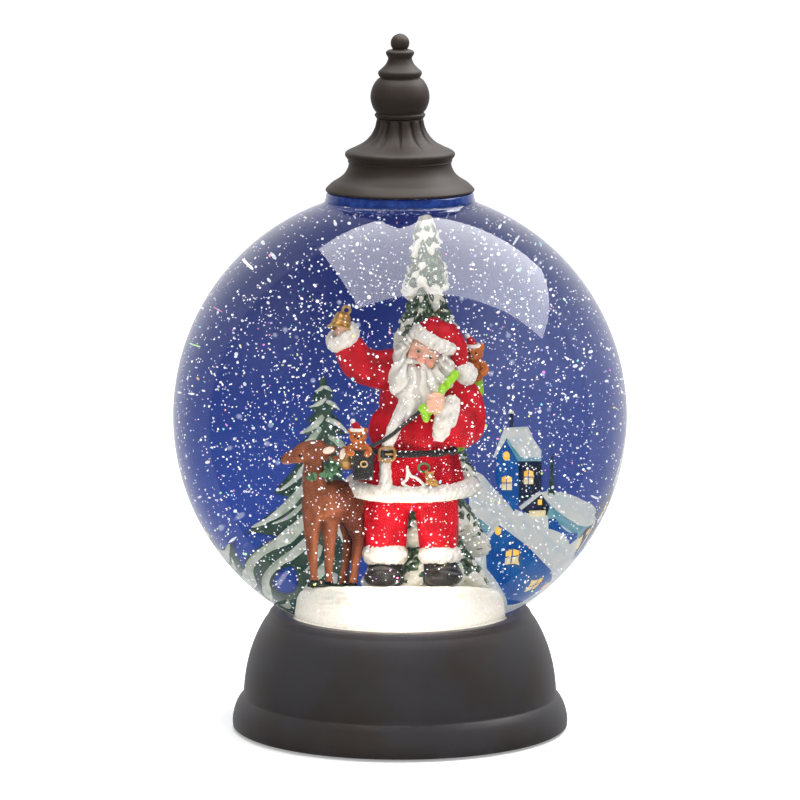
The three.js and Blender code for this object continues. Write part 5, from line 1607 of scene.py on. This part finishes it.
class SNOWGLOBE_OT_stage(bpy.types.Operator):
    """The pale floor, the soft studio light and the camera"""
    bl_idname = "snowglobe.stage"
    bl_label = "Stage"

    def execute(self, context):
        scene = context.scene
        camera = bpy.data.objects.new("camera", bpy.data.cameras.new("camera"))
        scene.collection.objects.link(camera)
        camera.location = (0, -1.778, 0.3894)
        camera.rotation_euler = (np.radians(90 - 8.9), 0, 0)
        camera.data.lens = 242.9
        camera.data.sensor_width = 36.0
        camera.data.clip_start = 0.05
        scene.camera = camera

        mesh = bpy.data.meshes.new("floor")
        reach = 6.0
        mesh.from_pydata([(-reach, -reach, 0), (reach, -reach, 0), (reach, reach, 0), (-reach, reach, 0)],
                         [], [(0, 1, 2, 3)])
        floor = bpy.data.objects.new("floor", mesh)
        scene.collection.objects.link(floor)
        paper, tree, shader = new_material("floor_paper")
        shader.inputs["Base Color"].default_value = (0.90, 0.90, 0.90, 1)
        shader.inputs["Roughness"].default_value = 0.8
        shader.inputs["Emission Color"].default_value = (1, 1, 1, 1)
        away = tree.nodes.new("ShaderNodeVectorMath")
        away.operation = "LENGTH"
        tree.links.new(own_place(tree), away.inputs[0])
        far = ramp_between(tree, away.outputs["Value"], 0.05, 0.30)
        tree.links.new(arithmetic(tree, "ADD", 0.30, arithmetic(tree, "MULTIPLY", far, 0.42)),
                       shader.inputs["Emission Strength"])
        mesh.materials.append(paper)
        floor.visible_glossy = False

        # white straight behind the object, half bright beside that, dim above and in front, dark below
        world = bpy.data.worlds.new("studio")
        scene.world = world
        world.use_nodes = True
        tree = world.node_tree
        back = tree.nodes["Background"]
        way = tree.nodes.new("ShaderNodeSeparateXYZ")
        tree.links.new(tree.nodes.new("ShaderNodeTexCoord").outputs["Generated"], way.inputs[0])
        sides = arithmetic(tree, "MULTIPLY", ramp_between(tree, way.outputs["Y"], 0.35, 0.39), 0.34)
        behind = arithmetic(tree, "MULTIPLY", ramp_between(tree, way.outputs["Y"], 0.55, 0.95), 0.45)
        above = arithmetic(tree, "MULTIPLY", ramp_between(tree, way.outputs["Z"], -0.25, 0.25), 0.16)
        level = arithmetic(tree, "ADD", arithmetic(tree, "ADD", sides, behind), above)
        tree.links.new(blend_colour(tree, 1.0, (1.0, 1.0, 1.02), level, "MULTIPLY"), back.inputs["Color"])
        back.inputs["Strength"].default_value = 1.0

        # the large overhead panel, seen mirrored on the ball's upper front
        soft_lamp("overhead_panel", (0.1331, 0.0900, 0.4955), 0.705, 0.437, 5.6, turn=(10.6, 10.4, 16.7))
        soft_lamp("front_fill", (-0.4, -2.4, 0.8), 1.6, 1.6, 25, mirrored=False)
        soft_lamp("right_fill", (2.0, -0.6, 0.8), 1.2, 1.6, 9, mirrored=False)
        soft_lamp("left_fill", (-2.0, -0.4, 0.9), 1.2, 1.6, 6, mirrored=False)
        lamp = bpy.data.lights.new("base_glow", "POINT")
        lamp.energy = 0.05
        lamp.color = (1.0, 0.93, 0.80)
        lamp.shadow_soft_size = 0.006
        glow = bpy.data.objects.new("base_glow", lamp)
        glow.location = (0, -0.034, 0.0655)
        glow.visible_camera = glow.visible_transmission = glow.visible_glossy = False
        scene.collection.objects.link(glow)
        scene.view_settings.view_transform = "Standard"
        return {"FINISHED"}


OPERATORS = [
    SNOWGLOBE_OT_stage, SNOWGLOBE_OT_ball, SNOWGLOBE_OT_base, SNOWGLOBE_OT_finial, SNOWGLOBE_OT_ground,
    SNOWGLOBE_OT_backdrop, SNOWGLOBE_OT_tall_tree,
    SNOWGLOBE_OT_clothes, SNOWGLOBE_OT_head, SNOWGLOBE_OT_trinkets, SNOWGLOBE_OT_fawn,
    SNOWGLOBE_OT_glitter, SNOWGLOBE_OT_fittings,
]


class SNOWGLOBE_PT_panel(bpy.types.Panel):
    """Lists the pieces of the snow globe"""
    bl_label = "Snow Globe"
    bl_idname = "SNOWGLOBE_PT_panel"
    bl_space_type = "VIEW_3D"
    bl_region_type = "UI"
    bl_category = "Snow Globe"

    def draw(self, context):
        for operator in OPERATORS:
            self.layout.operator(operator.bl_idname)
        for label, group in (("Sizes", context.scene.snowglobe_sizes),
                             ("Colours", context.scene.snowglobe_colours)):
            box = self.layout.box()
            box.label(text=label)
            for name in group.bl_rna.properties.keys():
                if name not in ("rna_type", "name"):
                    box.prop(group, name)


CLASSES = [SNOWGLOBE_PG_sizes, SNOWGLOBE_PG_colours, *OPERATORS, SNOWGLOBE_PT_panel]


def register():
    for cls in CLASSES:
        bpy.utils.register_class(cls)
    bpy.types.Scene.snowglobe_sizes = bpy.props.PointerProperty(type=SNOWGLOBE_PG_sizes)
    bpy.types.Scene.snowglobe_colours = bpy.props.PointerProperty(type=SNOWGLOBE_PG_colours)


def unregister():
    del bpy.types.Scene.snowglobe_colours
    del bpy.types.Scene.snowglobe_sizes
    for cls in reversed(CLASSES):
        bpy.utils.unregister_class(cls)


def main():
    register()
    for operator in OPERATORS:
        group, name = operator.bl_idname.split(".")
        getattr(getattr(bpy.ops, group), name)()


if __name__ == "__main__":
    main()
